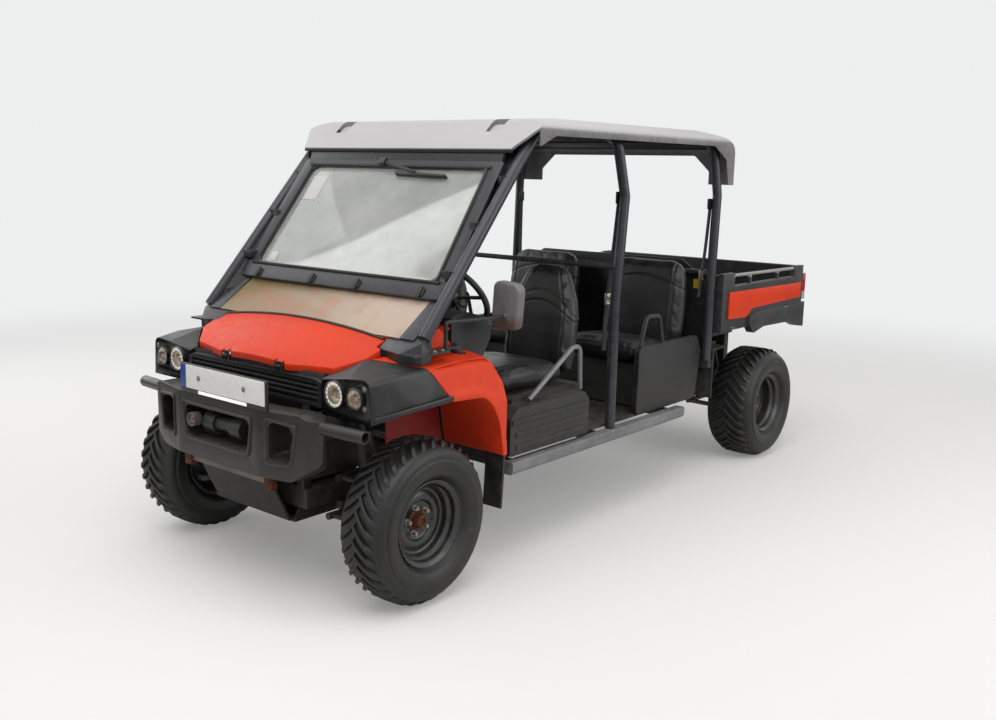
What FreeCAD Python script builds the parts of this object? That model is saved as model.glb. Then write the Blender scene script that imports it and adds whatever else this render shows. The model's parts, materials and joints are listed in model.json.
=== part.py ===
import FreeCAD, Part
import math
import os

# Four-seat utility side by side with a tipping cargo bed, in millimetres
# +Z is up, the front faces -Y and the vehicle's left side is +X
# Every y below is measured from the front axle; the saved pieces are moved so that
# the origin lies under the middle of the whole length, on the ground

V = FreeCAD.Vector
os.makedirs("parts", exist_ok=True)

# Overall and wheels
FRONT_END = -430.0
WHEELBASE = 2840.0
REAR_END = WHEELBASE + 552.0
TYRE_RADIUS = 317.5
FRONT_TYRE_WIDTH = 230.0
REAR_TYRE_WIDTH = 280.0
TRACK_OUTER_FRONT = 765.0
TRACK_OUTER_REAR = 787.0
TYRE_SIDES = 30
LUGS = 16
LUG_HEIGHT = 16.0
RIM_SEAT_RADIUS = 152.0
RIM_LIP_RADIUS = 168.0
RIM_HALF_WIDTH_FRONT = 84.0
RIM_HALF_WIDTH_REAR = 106.0
RIM_WALL = 6.0
BEAD_STEP = 8.0
HUB_RADIUS = 38.0
SPINDLE_RADIUS = 20.0
SPINDLE_PLAY = 0.05
SEAT_GAP = 0.3
SHEET = 5.0

# Ladder frame
RAIL_X = 270.0
RAIL_WIDTH = 60.0
RAIL_BOTTOM = 330.0
RAIL_HEIGHT = 80.0
RAIL_FRONT = -230.0
RAIL_REAR = WHEELBASE + 340.0
FLOOR_Z = 440.0
FLOOR_SHEET = 8.0
CABIN_FRONT = 500.0
CABIN_REAR = WHEELBASE - 690.0
SILL_OUTER = 700.0
SILL_WIDTH = 58.0
SILL_BOTTOM = 378.0
SILL_HEIGHT = 56.0
SILL_FRONT = 530.0
SILL_REAR = WHEELBASE - 880.0

# Steering and front suspension
KINGPIN_X = TRACK_OUTER_FRONT - 165.0
KNUCKLE_TOP = 385.0
KNUCKLE_FOOT = 245.0
ARM_TUBE = 14.0
LOWER_PIVOT_X = 318.0
LOWER_PIVOT_Z = 285.0
UPPER_PIVOT_X = 332.0
UPPER_PIVOT_Z = 434.0
BALL_RADIUS = 18.0
STEER_ARM_Y = 100.0
STEER_ARM_X = KINGPIN_X - 40.0
STEER_ARM_Z = 332.0
RACK_Z = 316.0
RACK_RADIUS = 9.0
RACK_PLAY = 0.5

# Body front
BODY_OUTER = 735.0
HOOD_HALF_REAR = 520.0
HOOD_NOSE_Y = -245.0
HOOD_REAR_Y = 0.0
HOOD_FLANGE = 24.0
PANEL_GAP = 6.0
LAMP_INNER = (492.0, 52.0)
LAMP_OUTER = (600.0, 42.0)
LAMP_Z = 818.0
LAMP_FACE_Y = -235.0

# Windscreen
SCREEN_FOOT = (185.1, 1122.0)
SCREEN_HEAD = (575.0, 1645.0)
SCREEN_HALF_FOOT = 625.0
SCREEN_HALF_HEAD = 600.0
SCREEN_FRAME = 26.0
GLASS = 6.0

# Roll cage and roof
CAGE_TUBE = 24.0
CAGE_X = 662.0
CAGE_TOP = 1790.0
RAIL_TUBE = 17.0
PILLAR_FOOT = (30.0, 1006.0)
PILLAR_HEAD = (706.0, 1790.0)
PILLAR_LEAN_IN = 22.0
FOOT_PLATE_Z = 948.0
CAGE_LEG_TUBE = 18.0
CAGE_LEG = ((CAGE_X - 34, 228, FOOT_PLATE_Z + 5), (CAGE_X - 34, 505, 680),
            (CAGE_X - 34, 505, FLOOR_Z + FLOOR_SHEET + SEAT_GAP))
CROSS_Z = 1712.0
REAR_HOOP_FOOT = 640.0
HOOP_B_Y = 1310.0
HOOP_C_Y = WHEELBASE - 605.0
ROOF_HALF = 705.0
ROOF_TOP = 1862.0
ROOF_EDGE = 1812.0
ROOF_FASCIA = 1768.0
ROOF_FRONT = 560.0
ROOF_REAR = WHEELBASE - 495.0
ROOF_SHEET = 6.0
ROOF_VALLEY = (425.0, 500.0, 22.0)

# Cargo bed
BED_FRONT = WHEELBASE - 528.0
BED_REAR = WHEELBASE + 515.0
BED_HALF = 700.0
BED_FLOOR_Z = 800.0
BED_TOP_Z = 1092.0
BED_WALL_TOP = 1030.0
FRONT_POST_END = 2445.0
REAR_POST_START = 3232.0
BED_WALL = 28.0
BED_HINGE = (WHEELBASE + 240.0, 748.0)
HINGE_PIN = 12.0
GATE_THICK = 26.0
GATE_HINGE = (WHEELBASE + 530.0, 815.0)
GATE_HALF = 655.0
GATE_PIN = 8.0

ORIGIN_Y = (FRONT_END + REAR_END) / 2
FRONT_WHEEL_X = TRACK_OUTER_FRONT - FRONT_TYRE_WIDTH / 2
REAR_WHEEL_X = TRACK_OUTER_REAR - REAR_TYRE_WIDTH / 2
AXLE_Z = TYRE_RADIUS


pillar_axis = ((CAGE_X, PILLAR_FOOT[0], PILLAR_FOOT[1]), (CAGE_X - PILLAR_LEAN_IN, PILLAR_HEAD[0], PILLAR_HEAD[1]))


def pillar_y(z):
    """Where the front pillar's axis is at a height."""
    share = (z - PILLAR_FOOT[1]) / (PILLAR_HEAD[1] - PILLAR_FOOT[1])
    return PILLAR_FOOT[0] + share * (PILLAR_HEAD[0] - PILLAR_FOOT[0])


def place(axis, u, v, w):
    """A point from its two coordinates in the plane across an axis and its place along it."""
    return {"x": V(w, u, v), "y": V(u, w, v), "z": V(u, v, w)}[axis]


def outline(points, axis, w, radius=0.0):
    """A closed wire through the points; each corner is an arc of its own or the common radius."""
    corners = []
    count = len(points)
    for i, point in enumerate(points):
        here = place(axis, point[0], point[1], w)
        before = place(axis, points[i - 1][0], points[i - 1][1], w)
        after = place(axis, points[(i + 1) % count][0], points[(i + 1) % count][1], w)
        r = point[2] if len(point) > 2 else radius
        back = (before - here).normalize()
        ahead = (after - here).normalize()
        half = math.acos(max(-1.0, min(1.0, back.dot(ahead)))) / 2
        if r <= 0 or half > math.radians(89.5):
            corners.append((here, None, here))
            continue
        run = r / math.tan(half)
        middle = (back + ahead).normalize()
        top = here + middle * (r / math.sin(half) - r)
        corners.append((here + back * run, top, here + ahead * run))
    edges = []
    for i, (start, top, end) in enumerate(corners):
        last = corners[i - 1][2]
        if (start - last).Length > 1e-6:
            edges.append(Part.LineSegment(last, start).toShape())
        if top is not None:
            edges.append(Part.Arc(start, top, end).toShape())
    return Part.Wire(Part.__sortEdges__(edges))


def prism(points, axis, low, high, radius=0.0):
    """A solid with the outline of the points, from low to high along an axis."""
    face = Part.Face(outline(points, axis, low, radius))
    return face.extrude(place(axis, 0, 0, high - low))


def box(x0, x1, y0, y1, z0, z1):
    return Part.makeBox(x1 - x0, y1 - y0, z1 - z0, V(x0, y0, z0))


def rod(start, end, radius, bore=0.0):
    """A round bar or pipe from one point to another."""
    start = V(*start)
    run = V(*end) - start
    bar = Part.makeCylinder(radius, run.Length, start, run)
    if bore:
        bar = bar.cut(Part.makeCylinder(bore, run.Length, start, run))
    return bar


def bent_tube(points, radius, bend):
    """A round tube through the points, with an arc at each inner one."""
    points = [V(*p) for p in points]
    edges = []
    last = points[0]
    for i in range(1, len(points) - 1):
        back = (points[i - 1] - points[i]).normalize()
        ahead = (points[i + 1] - points[i]).normalize()
        half = math.acos(max(-1.0, min(1.0, back.dot(ahead)))) / 2
        run = bend / math.tan(half)
        middle = (back + ahead).normalize()
        top = points[i] + middle * (bend / math.sin(half) - bend)
        start = points[i] + back * run
        end = points[i] + ahead * run
        edges.append(Part.LineSegment(last, start).toShape())
        edges.append(Part.Arc(start, top, end).toShape())
        last = end
    edges.append(Part.LineSegment(last, points[-1]).toShape())
    path = Part.Wire(edges)
    ring = Part.Wire(Part.Circle(points[0], points[1] - points[0], radius).toShape())
    return path.makePipeShell([ring], True, False)


def ring_body(profile, x):
    """A body turned about the wheel's axis from a profile of (x, radius)."""
    points = [V(x + p[0], 0, p[1]) for p in profile]
    face = Part.Face(Part.makePolygon(points + [points[0]]))
    turned = face.revolve(V(0, 0, 0), V(1, 0, 0), 360)
    return turned


def fuse(shapes):
    whole = shapes[0]
    for shape in shapes[1:]:
        whole = whole.fuse(shape)
    return whole.removeSplitter()


def mirrored(shape):
    return shape.mirror(V(0, 0, 0), V(1, 0, 0))


def both(shape):
    """The left piece and its mirror on the right."""
    return [shape, mirrored(shape)]


def save(node, *shapes):
    """Write one node; its pieces don't touch each other."""
    solids = []
    for shape in shapes:
        solids += shape.Solids
    moved = []
    for solid in solids:
        copy = solid.copy()
        copy.translate(V(0, -ORIGIN_Y, 0))
        moved.append(copy)
    whole = moved[0] if len(moved) == 1 else Part.makeCompound(moved)
    if not whole.isValid():
        print("not valid:", node)
    whole.exportStep("parts/" + node + ".step")


# Wheels: a low-pressure tyre on a welded steel rim with a bored hub


def many_sided(x, radius):
    """A closed wire of straight lines about the wheel's axis."""
    points = [V(x, radius * math.sin(2 * math.pi * i / TYRE_SIDES), radius * math.cos(2 * math.pi * i / TYRE_SIDES))
              for i in range(TYRE_SIDES)]
    return Part.makePolygon(points + [points[0]])


def lug(inner_x, outer_x, turn):
    """A square bar that leans across the tread; its top falls a little towards the shoulder."""
    plan = [(inner_x, -9, TYRE_RADIUS - 0.13), (inner_x, 9, TYRE_RADIUS - 0.13),
            (outer_x, 37, TYRE_RADIUS - 9), (outer_x, 15, TYRE_RADIUS - 9)]
    top = [V(x, t, r) for x, t, r in plan]
    foot = [V(x, t, TYRE_RADIUS - 70) for x, t, r in plan]
    faces = [Part.Face(Part.makePolygon(ring + [ring[0]])) for ring in (top, foot)]
    for i in range(4):
        j = (i + 1) % 4
        faces.append(Part.Face(Part.makePolygon([top[i], top[j], foot[j], foot[i], top[i]])))
    bar = Part.makeSolid(Part.makeShell(faces))
    bar.rotate(V(0, 0, 0), V(1, 0, 0), turn)
    return bar


def tyre(x, width, rim_half):
    """A ring with flat sides, clear of the rim by its flats, and a V of lugs fused to it."""
    half = width / 2
    bead = rim_half - BEAD_STEP - SEAT_GAP
    side = [(bead, RIM_LIP_RADIUS + 6), (half, TYRE_RADIUS - 84), (half - 30, TYRE_RADIUS - LUG_HEIGHT)]
    profile = side + [(-p[0], p[1]) for p in reversed(side)]
    ring = Part.makeLoft([many_sided(p[0], p[1]) for p in profile], True, True)
    seat = RIM_SEAT_RADIUS / math.cos(math.pi / TYRE_SIDES)
    ring = ring.cut(Part.makeLoft([many_sided(-half, seat), many_sided(half, seat)], True, True))
    corner_turn = math.degrees(math.asin(9 / TYRE_RADIUS))
    lugs = []
    for i in range(LUGS):
        turn = 360 * i / LUGS + 180 + corner_turn
        lugs.append(lug(4, half - 16, turn))
        lugs.append(lug(-4, -half + 16, turn + 180 / LUGS))
    body = ring.fuse(lugs).removeSplitter()
    body.translate(V(x, 0, 0))
    return body


def rim(x, half):
    seat = RIM_SEAT_RADIUS - SEAT_GAP
    outer = [(half, RIM_LIP_RADIUS), (half - 6, RIM_LIP_RADIUS), (half - BEAD_STEP, seat), (half - 34, seat - 2),
             (half - 46, seat - 16)]
    inner = [(half - 49, seat - 16 - RIM_WALL), (half - 37, seat - 2 - RIM_WALL), (half - 6, seat - RIM_WALL),
             (half, seat + 4)]
    barrel = outer + [(-p[0], p[1]) for p in reversed(outer)]
    barrel += [(-p[0], p[1]) for p in reversed(inner)] + inner
    bore = SPINDLE_RADIUS + SPINDLE_PLAY
    well = seat - 16 - RIM_WALL / 2
    disc = [(-14, bore), (10, bore), (12, HUB_RADIUS), (18, HUB_RADIUS + 4), (30, 84), (22, 108), (8, well),
            (0, well), (14, 104), (22, 84), (6, HUB_RADIUS + 8), (-14, HUB_RADIUS)]
    wheel = fuse([ring_body(barrel, x), ring_body(disc, x)])
    holes = []
    for i in range(8):
        angle = math.radians(22.5 + 45 * i)
        centre = V(x - 10, 104 * math.cos(angle), 104 * math.sin(angle))
        holes.append(Part.makeCylinder(11, 60, centre, V(1, 0, 0)))
    return wheel.cut(holes)


WHEELS = [
    # name, x of the middle, y, tyre width, half the rim's width
    ("front", FRONT_WHEEL_X, 0.0, FRONT_TYRE_WIDTH, RIM_HALF_WIDTH_FRONT),
    ("rear", REAR_WHEEL_X, WHEELBASE, REAR_TYRE_WIDTH, RIM_HALF_WIDTH_REAR),
]
for name, x, y, width, half in WHEELS:
    for piece, shape in (("tyre", tyre(x, width, half)), ("rim", rim(x, half))):
        shape.translate(V(0, y, AXLE_Z))
        save(piece + "_" + name + "_left", shape)
        save(piece + "_" + name + "_right", mirrored(shape))

# Knuckles: an upright with a ball seat above and below, a spindle and a steering arm

knuckle_face = FRONT_WHEEL_X - 14.0 - 4.0
upright = box(KINGPIN_X - 22, knuckle_face, -26, 26, KNUCKLE_FOOT, KNUCKLE_TOP)
spindle = rod((KINGPIN_X, 0, AXLE_Z), (FRONT_WHEEL_X + 34, 0, AXLE_Z), SPINDLE_RADIUS)
flange = rod((KINGPIN_X - 15, 0, AXLE_Z), (knuckle_face, 0, AXLE_Z), 44)
arm = prism([(KINGPIN_X - 20, 10), (KINGPIN_X + 14, 10), (STEER_ARM_X + 18, STEER_ARM_Y + 14),
             (STEER_ARM_X - 14, STEER_ARM_Y + 14)], "z", STEER_ARM_Z, STEER_ARM_Z + 16, 4)
knuckle = fuse([upright, spindle, flange, arm])
save("knuckle_left", knuckle)
save("knuckle_right", mirrored(knuckle))

# Rack with its two tie rods: it slides across the frame and ends under the knuckles' arms

rack_bar = rod((-STEER_ARM_X, STEER_ARM_Y, RACK_Z), (STEER_ARM_X, STEER_ARM_Y, RACK_Z), RACK_RADIUS)
tie_boss = rod((STEER_ARM_X, STEER_ARM_Y, RACK_Z - 13), (STEER_ARM_X, STEER_ARM_Y, STEER_ARM_Z - SEAT_GAP), 13)
save("steering_rack", fuse([rack_bar, tie_boss, mirrored(tie_boss)]))

# Ladder frame: two rails with outriggers for the sills and lugs for the wishbones

rail_in = RAIL_X - RAIL_WIDTH / 2
rail_out = RAIL_X + RAIL_WIDTH / 2
rail_top = RAIL_BOTTOM + RAIL_HEIGHT
SILL_INNER = SILL_OUTER - SILL_WIDTH
OUTRIGGERS = (SILL_FRONT + 70, HOOP_B_Y - 70, SILL_REAR - 60)
rail = [box(rail_in, rail_out, RAIL_FRONT, RAIL_REAR, RAIL_BOTTOM, rail_top)]
for y in OUTRIGGERS:
    rail.append(box(RAIL_X, SILL_INNER - SEAT_GAP, y - 20, y + 20, SILL_BOTTOM + 4, SILL_BOTTOM + 44))
for y in (-60, 60, WHEELBASE - 110, WHEELBASE + 110):
    rail.append(box(rail_out - 12, LOWER_PIVOT_X + 12, y - 20, y + 20, LOWER_PIVOT_Z + ARM_TUBE + SEAT_GAP,
                    RAIL_BOTTOM + 2))
save("frame_rails", *both(fuse(rail)))

# Cross members between the rails; one carries the steering rack's housing, the last the receiver

CROSS_HALF = rail_in - SEAT_GAP
CROSS_MEMBERS = [
    # y of the middle, depth, bottom, height
    (RAIL_FRONT + 20, 40, RAIL_BOTTOM, RAIL_HEIGHT),
    (CABIN_FRONT, 50, RAIL_BOTTOM + 10, 60),
    (HOOP_B_Y - 70, 50, RAIL_BOTTOM + 10, 60),
    (SILL_REAR - 30, 50, RAIL_BOTTOM + 10, 60),
]
members = [box(-CROSS_HALF, CROSS_HALF, y - depth / 2, y + depth / 2, bottom, bottom + height)
           for y, depth, bottom, height in CROSS_MEMBERS]
rack_member = fuse([box(-CROSS_HALF, CROSS_HALF, STEER_ARM_Y - 25, STEER_ARM_Y + 25, RAIL_BOTTOM + 12, RAIL_BOTTOM + 62),
                    box(-130, 130, STEER_ARM_Y - 22, STEER_ARM_Y + 22, RACK_Z - 20, RAIL_BOTTOM + 14)])
rack_bore = rod((-140, STEER_ARM_Y, RACK_Z), (140, STEER_ARM_Y, RACK_Z), RACK_RADIUS + RACK_PLAY)
receiver = box(-32, 32, WHEELBASE + 220, WHEELBASE + 450, RAIL_BOTTOM - 20, RAIL_BOTTOM + 44)
tow_member = box(-CROSS_HALF, CROSS_HALF, RAIL_REAR - 60, RAIL_REAR, RAIL_BOTTOM, rail_top)
tow_frame = box(-rail_out, rail_out, RAIL_REAR + SEAT_GAP, RAIL_REAR + 40, RAIL_BOTTOM + 44, RAIL_BOTTOM + 78)
socket = box(-25.4, 25.4, WHEELBASE + 280, WHEELBASE + 460, RAIL_BOTTOM - 13.4, RAIL_BOTTOM + 37.4)
pin_bore = rod((-50, WHEELBASE + 400, RAIL_BOTTOM + 12), (50, WHEELBASE + 400, RAIL_BOTTOM + 12), 8)
save("frame_cross_members", rack_member.cut(rack_bore), fuse([receiver, tow_member, tow_frame]).cut([socket, pin_bore]),
     *members)

# Front portals on the rails: one for the struts, one for the nose

TOWER_TOP = 690.0
tower_post = box(rail_in, rail_in + 44, -30, 30, rail_top + SEAT_GAP, TOWER_TOP)
tower_beam = box(-RAIL_X - 110, RAIL_X + 110, -25, 25, TOWER_TOP - 40, TOWER_TOP)
upper_lug = box(rail_in + 40, UPPER_PIVOT_X - ARM_TUBE - SEAT_GAP, -20, 20, UPPER_PIVOT_Z - 14, UPPER_PIVOT_Z + 14)
nose_post = box(rail_in, rail_in + 40, RAIL_FRONT, RAIL_FRONT + 40, rail_top + SEAT_GAP, 800)
nose_beam = box(-RAIL_X, RAIL_X, RAIL_FRONT, RAIL_FRONT + 40, 700, 740)
save("front_tower", fuse([tower_beam] + both(tower_post) + both(upper_lug)), fuse([nose_beam] + both(nose_post)))

# Rear frame: brackets for the rear hoop, and posts and rails that carry the bed on its hinge pins

BED_RAIL_Z = 700.0
BED_RAIL_X = 330.0
hoop_post = box(rail_in, rail_out, HOOP_C_Y - 22, HOOP_C_Y + 22, rail_top + SEAT_GAP, REAR_HOOP_FOOT - 40)
hoop_beam = box(rail_in, CAGE_X + CAGE_TUBE, HOOP_C_Y - 22, HOOP_C_Y + 22, REAR_HOOP_FOOT - 40,
                REAR_HOOP_FOOT - SEAT_GAP)
bed_frame = [box(rail_in + 5, BED_RAIL_X + 22, y - 25, y + 25, rail_top + SEAT_GAP, BED_RAIL_Z)
             for y in (BED_FRONT + 70, BED_HINGE[0])]
bed_frame.append(box(BED_RAIL_X - 22, BED_RAIL_X + 22, BED_FRONT + 45, BED_HINGE[0] + 70, BED_RAIL_Z - 44, BED_RAIL_Z))
bed_frame.append(prism([(BED_HINGE[0] - 34, BED_RAIL_Z - 10), (BED_HINGE[0] + 34, BED_RAIL_Z - 10),
                        (BED_HINGE[0] + 24, BED_HINGE[1] + 22, 14), (BED_HINGE[0] - 24, BED_HINGE[1] + 22, 14)],
                       "x", BED_RAIL_X - 20, BED_RAIL_X + 2))
bed_frame.append(rod((BED_RAIL_X - 26, BED_HINGE[0], BED_HINGE[1]), (BED_RAIL_X + 42, BED_HINGE[0], BED_HINGE[1]),
                     HINGE_PIN))
save("rear_subframe", *both(fuse([hoop_post, hoop_beam])), *both(fuse(bed_frame)))

# Sills: scuffed steel rocker beams along the cabin's sides

sill = prism([(SILL_INNER, SILL_BOTTOM, 10), (SILL_OUTER - 12, SILL_BOTTOM, 8), (SILL_OUTER, SILL_BOTTOM + 16, 8),
              (SILL_OUTER, SILL_BOTTOM + SILL_HEIGHT, 10), (SILL_INNER, SILL_BOTTOM + SILL_HEIGHT, 10)],
             "y", SILL_FRONT, SILL_REAR)
save("side_sills", *both(sill))

# Front wishbones, their ball seats, and the spring struts

lower_ball = (KINGPIN_X, 0, KNUCKLE_FOOT - SEAT_GAP - 24)
upper_ball = (KINGPIN_X, 0, KNUCKLE_TOP + SEAT_GAP)


def wishbone(pivot_x, spread, pivot_z, ball, height, lift):
    legs = [rod((pivot_x, s * spread, pivot_z), (ball[0], 0, ball[2] + lift), ARM_TUBE * 0.7)
            for s in (-1, 1)]
    sleeve = rod((pivot_x, -spread - 22, pivot_z), (pivot_x, spread + 22, pivot_z), ARM_TUBE)
    boss = rod(ball, (ball[0], 0, ball[2] + height), BALL_RADIUS)
    return fuse(legs + [sleeve, boss])


lower_arm = wishbone(LOWER_PIVOT_X, 120, LOWER_PIVOT_Z, lower_ball, 24, 8)
upper_arm = wishbone(UPPER_PIVOT_X, 84, UPPER_PIVOT_Z, upper_ball, 22, 14)
save("front_wishbones", *(both(lower_arm) + both(upper_arm)))

STRUT_FOOT = (KINGPIN_X - 148.0, 0.0, 262.0)
STRUT_HEAD = (KINGPIN_X - 250.0, 0.0, TOWER_TOP - 45.3)


def strut(foot, head, pin_half):
    foot = V(*foot)
    head = V(*head)
    along = (head - foot).normalize()
    body = rod(foot, head, 17)
    spring = rod(foot + along * 70, head - along * 50, 40)
    cups = [rod(foot + along * 62, foot + along * 70, 46), rod(head - along * 50, head - along * 42, 46)]
    pin = rod(foot - V(0, pin_half, 0), foot + V(0, pin_half, 0), 8)
    return fuse([body, spring, pin] + cups)



# Rear hub carriers with spindles, trailing wishbones, struts and drive shafts

DRIVE_FACE = 188.0
DRIVE_Z = 314.0
DRIVE_SHAFT = 13.0
carrier_face = REAR_WHEEL_X - 14.0 - 4.0
carrier = fuse([rod((REAR_WHEEL_X - 90, WHEELBASE, AXLE_Z), (carrier_face, WHEELBASE, AXLE_Z), 52),
                rod((REAR_WHEEL_X - 90, WHEELBASE, AXLE_Z), (REAR_WHEEL_X + 34, WHEELBASE, AXLE_Z), SPINDLE_RADIUS),
                box(REAR_WHEEL_X - 86, REAR_WHEEL_X - 50, WHEELBASE - 30, WHEELBASE + 30, AXLE_Z - 90, AXLE_Z + 80)])
rear_legs = [rod((LOWER_PIVOT_X, WHEELBASE + s * 130, LOWER_PIVOT_Z), (REAR_WHEEL_X - 60, WHEELBASE, AXLE_Z - 70), 13)
             for s in (-1, 1)]
rear_sleeve = rod((LOWER_PIVOT_X, WHEELBASE - 150, LOWER_PIVOT_Z), (LOWER_PIVOT_X, WHEELBASE + 150, LOWER_PIVOT_Z), ARM_TUBE)
shaft = rod((DRIVE_FACE + SEAT_GAP, WHEELBASE, DRIVE_Z), (REAR_WHEEL_X - 91, WHEELBASE, AXLE_Z), DRIVE_SHAFT)
save("rear_axle", *(both(fuse([carrier, rear_sleeve] + rear_legs)) + both(shaft)))
rear_strut = strut((REAR_WHEEL_X - 179, WHEELBASE - 57, 285.5), (REAR_WHEEL_X - 274, WHEELBASE - 57, 680), 16)
save("spring_struts", *(both(strut(STRUT_FOOT, STRUT_HEAD, 48)) + both(rear_strut)))

# Engine and transaxle as plain blocks at their places, and a belly plate

engine = fuse([prism([(WHEELBASE - 550, 395), (WHEELBASE - 230, 395), (WHEELBASE - 230, 690), (WHEELBASE - 550, 690)],
                      "x", -210, 210, 30),
               box(-rail_out + 10, rail_out - 10, WHEELBASE - 420, WHEELBASE - 360, rail_top + SEAT_GAP, rail_top + 26)])
transaxle = fuse([box(-165, 165, WHEELBASE - 180, WHEELBASE + 120, 272, 520),
                  rod((-DRIVE_FACE, WHEELBASE, DRIVE_Z), (DRIVE_FACE, WHEELBASE, DRIVE_Z), 26),
                  box(-rail_in + SEAT_GAP, rail_in - SEAT_GAP, WHEELBASE - 140, WHEELBASE - 90, 345, 395)])
radiator = box(-rail_in + SEAT_GAP, rail_in - SEAT_GAP, RAIL_FRONT + 4, RAIL_FRONT + 36, 430, 700 - SEAT_GAP)
save("engine", engine, transaxle, radiator)
skid = prism([(-345, 455), (-335, 455), (-250, 282), (230, 282), (230, 274), (-256, 274)], "x", -225, 225, 3)
skid_flange = prism([(-252, 278), (230, 278), (230, RAIL_BOTTOM - SEAT_GAP), (-228, RAIL_BOTTOM - SEAT_GAP)],
                    "x", 245, 251)
skid_shelf = box(220, 251, -250, 230, 274, 282)
rack_window = box(200, 300, STEER_ARM_Y - 50, STEER_ARM_Y + 50, 290, 400)
skid_side = fuse([skid_flange, skid_shelf]).cut(rack_window)
skid = fuse([skid, skid_side, mirrored(skid_side)])
save("skid_plate", skid)

# Front bumper: a heavy moulded guard with tall side openings and a recess for the winch

BUMPER_BOTTOM = 495.0
BUMPER_TOP = 748.0
band = prism([(-505, -318), (-470, -372, 20), (-250, FRONT_END + 12, 40), (250, FRONT_END + 12, 40),
              (470, -372, 20), (505, -318), (470, -276, 20), (240, -318, 40), (-240, -318, 40), (-470, -276, 20)],
             "z", BUMPER_BOTTOM, BUMPER_TOP)
front_shape = prism([(-400, BUMPER_BOTTOM, 30), (400, BUMPER_BOTTOM, 30), (500, 560, 40), (505, 720, 24),
                     (440, BUMPER_TOP, 20), (-440, BUMPER_TOP, 20), (-505, 720, 24), (-500, 560, 40)],
                    "y", FRONT_END, -250)
recess = prism([(-185, 575), (185, 575), (205, 700), (-205, 700)], "y", FRONT_END - 20, -200, 24)
slot = prism([(300, 560), (395, 565), (415, 700), (300, 712)], "y", FRONT_END - 20, -200, 26)
bumper = band.common(front_shape).cut([recess, slot, mirrored(slot)])
TUBE_ROOT = V(470, -318, 702)
TUBE_TIP = V(690, -290, 698)
TUBE_BORE_LENGTH = 170.0
tube_end = rod(TUBE_ROOT, TUBE_TIP, 24)
tube_bore = rod(TUBE_TIP, TUBE_TIP + (TUBE_ROOT - TUBE_TIP).normalize() * TUBE_BORE_LENGTH, 19)
stay = box(250, 290, -330, RAIL_FRONT, 600, 640)
bumper = fuse([bumper, tube_end, mirrored(tube_end), stay, mirrored(stay)]).cut(both(tube_bore))
save("front_bumper", bumper)
winch = fuse([rod((-116, -362, 636), (-48, -362, 636), 40), rod((48, -362, 636), (116, -362, 636), 40),
              rod((-48, -362, 636), (48, -362, 636), 28), box(-100, 100, -330, -322, 575 + SEAT_GAP, 699)])
save("winch", winch)
tow_lamp = fuse([rod((-152, FRONT_END + 36, 644), (-152, FRONT_END + 2, 644), 27),
                 rod((-194.9, FRONT_END + 30, 644), (-160, FRONT_END + 30, 644), 5)])

# Number plate, blank, on its holder
plate = prism([(-210, 752), (310, 752), (310, 864), (-210, 864)], "y", FRONT_END, FRONT_END + 6, 10)
holder = box(-70, 170, FRONT_END + 6.3, FRONT_END + 22, 748.3, 790)
save("number_plate", plate, holder)

# Grille between the lamps: a frame with five bars

GRILLE_HALF = 415.0 - SEAT_GAP
GRILLE_TOP = 858.0
HOOD_HINGE = (-249.0, 875.0)
HOOD_PIN = 3.0
HOOD_BARREL = (150.0, 182.0)
grille_outer = prism([(-GRILLE_HALF, 752), (GRILLE_HALF, 752), (GRILLE_HALF, 846), (380, GRILLE_TOP),
                      (-380, GRILLE_TOP), (-GRILLE_HALF, 846)], "y", RAIL_FRONT - 22, RAIL_FRONT - SEAT_GAP, 8)
grille_hole = prism([(-395, 766), (395, 766), (395, 838), (370, 850), (-370, 850), (-395, 838)],
                    "y", -260, -200, 6)
grille = [grille_outer.cut(grille_hole)]
for i in range(4):
    z = 780 + 19 * i
    grille.append(prism([(RAIL_FRONT - 20, z), (RAIL_FRONT - 3, z + 5), (RAIL_FRONT - 3, z + 13),
                         (RAIL_FRONT - 20, z + 9)], "x", -400, 400, 1.5))
for low in (HOOD_BARREL[0] - 9, HOOD_BARREL[1] + 1):
    grille += both(box(low, low + 8, HOOD_HINGE[0] - 3, HOOD_HINGE[0] + 3, GRILLE_TOP - 2, HOOD_HINGE[1] + 5))
hood_pin = rod((HOOD_BARREL[0] - 6, HOOD_HINGE[0], HOOD_HINGE[1]), (HOOD_BARREL[1] + 6, HOOD_HINGE[0], HOOD_HINGE[1]),
               HOOD_PIN)
save("grille", fuse(grille + both(hood_pin)))

# Hood: a crowned moulding that tips forward on its nose


def crowned_sheet(rows, thick, lift=0.0):
    """A sheet arched across the vehicle; each row gives y, the height in the middle and the crown."""
    half = 640.0
    wires = []
    for y, z, crown in rows:
        z = z + lift
        top = Part.Arc(V(-half, y, z - crown), V(0, y, z), V(half, y, z - crown)).toShape()
        foot = Part.Arc(V(half, y, z - crown - thick), V(0, y, z - thick), V(-half, y, z - crown - thick)).toShape()
        right = Part.LineSegment(V(half, y, z - crown), V(half, y, z - crown - thick)).toShape()
        left = Part.LineSegment(V(-half, y, z - crown - thick), V(-half, y, z - crown)).toShape()
        wires.append(Part.Wire([top, right, foot, left]))
    return Part.makeLoft(wires, True, True)


def both_sides(points):
    """An outline's left half, from the front to the rear, and its mirror on the right."""
    return list(points) + [(-p[0],) + tuple(p[1:]) for p in reversed(points)]


def hood_plan(grow, low, high):
    """The hood's outline from above, grown by a gap."""
    g = grow
    return prism(both_sides([(210, HOOD_NOSE_Y - g, 60), (420 + g, -196 - g, 20), (510 + g, -112 - g, 20),
                             (HOOD_HALF_REAR + g, -52 + g, 6), (488 + g, -46 + g, 4), (488 + g, HOOD_REAR_Y + g, 8)]),
                 "z", low, high)


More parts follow.
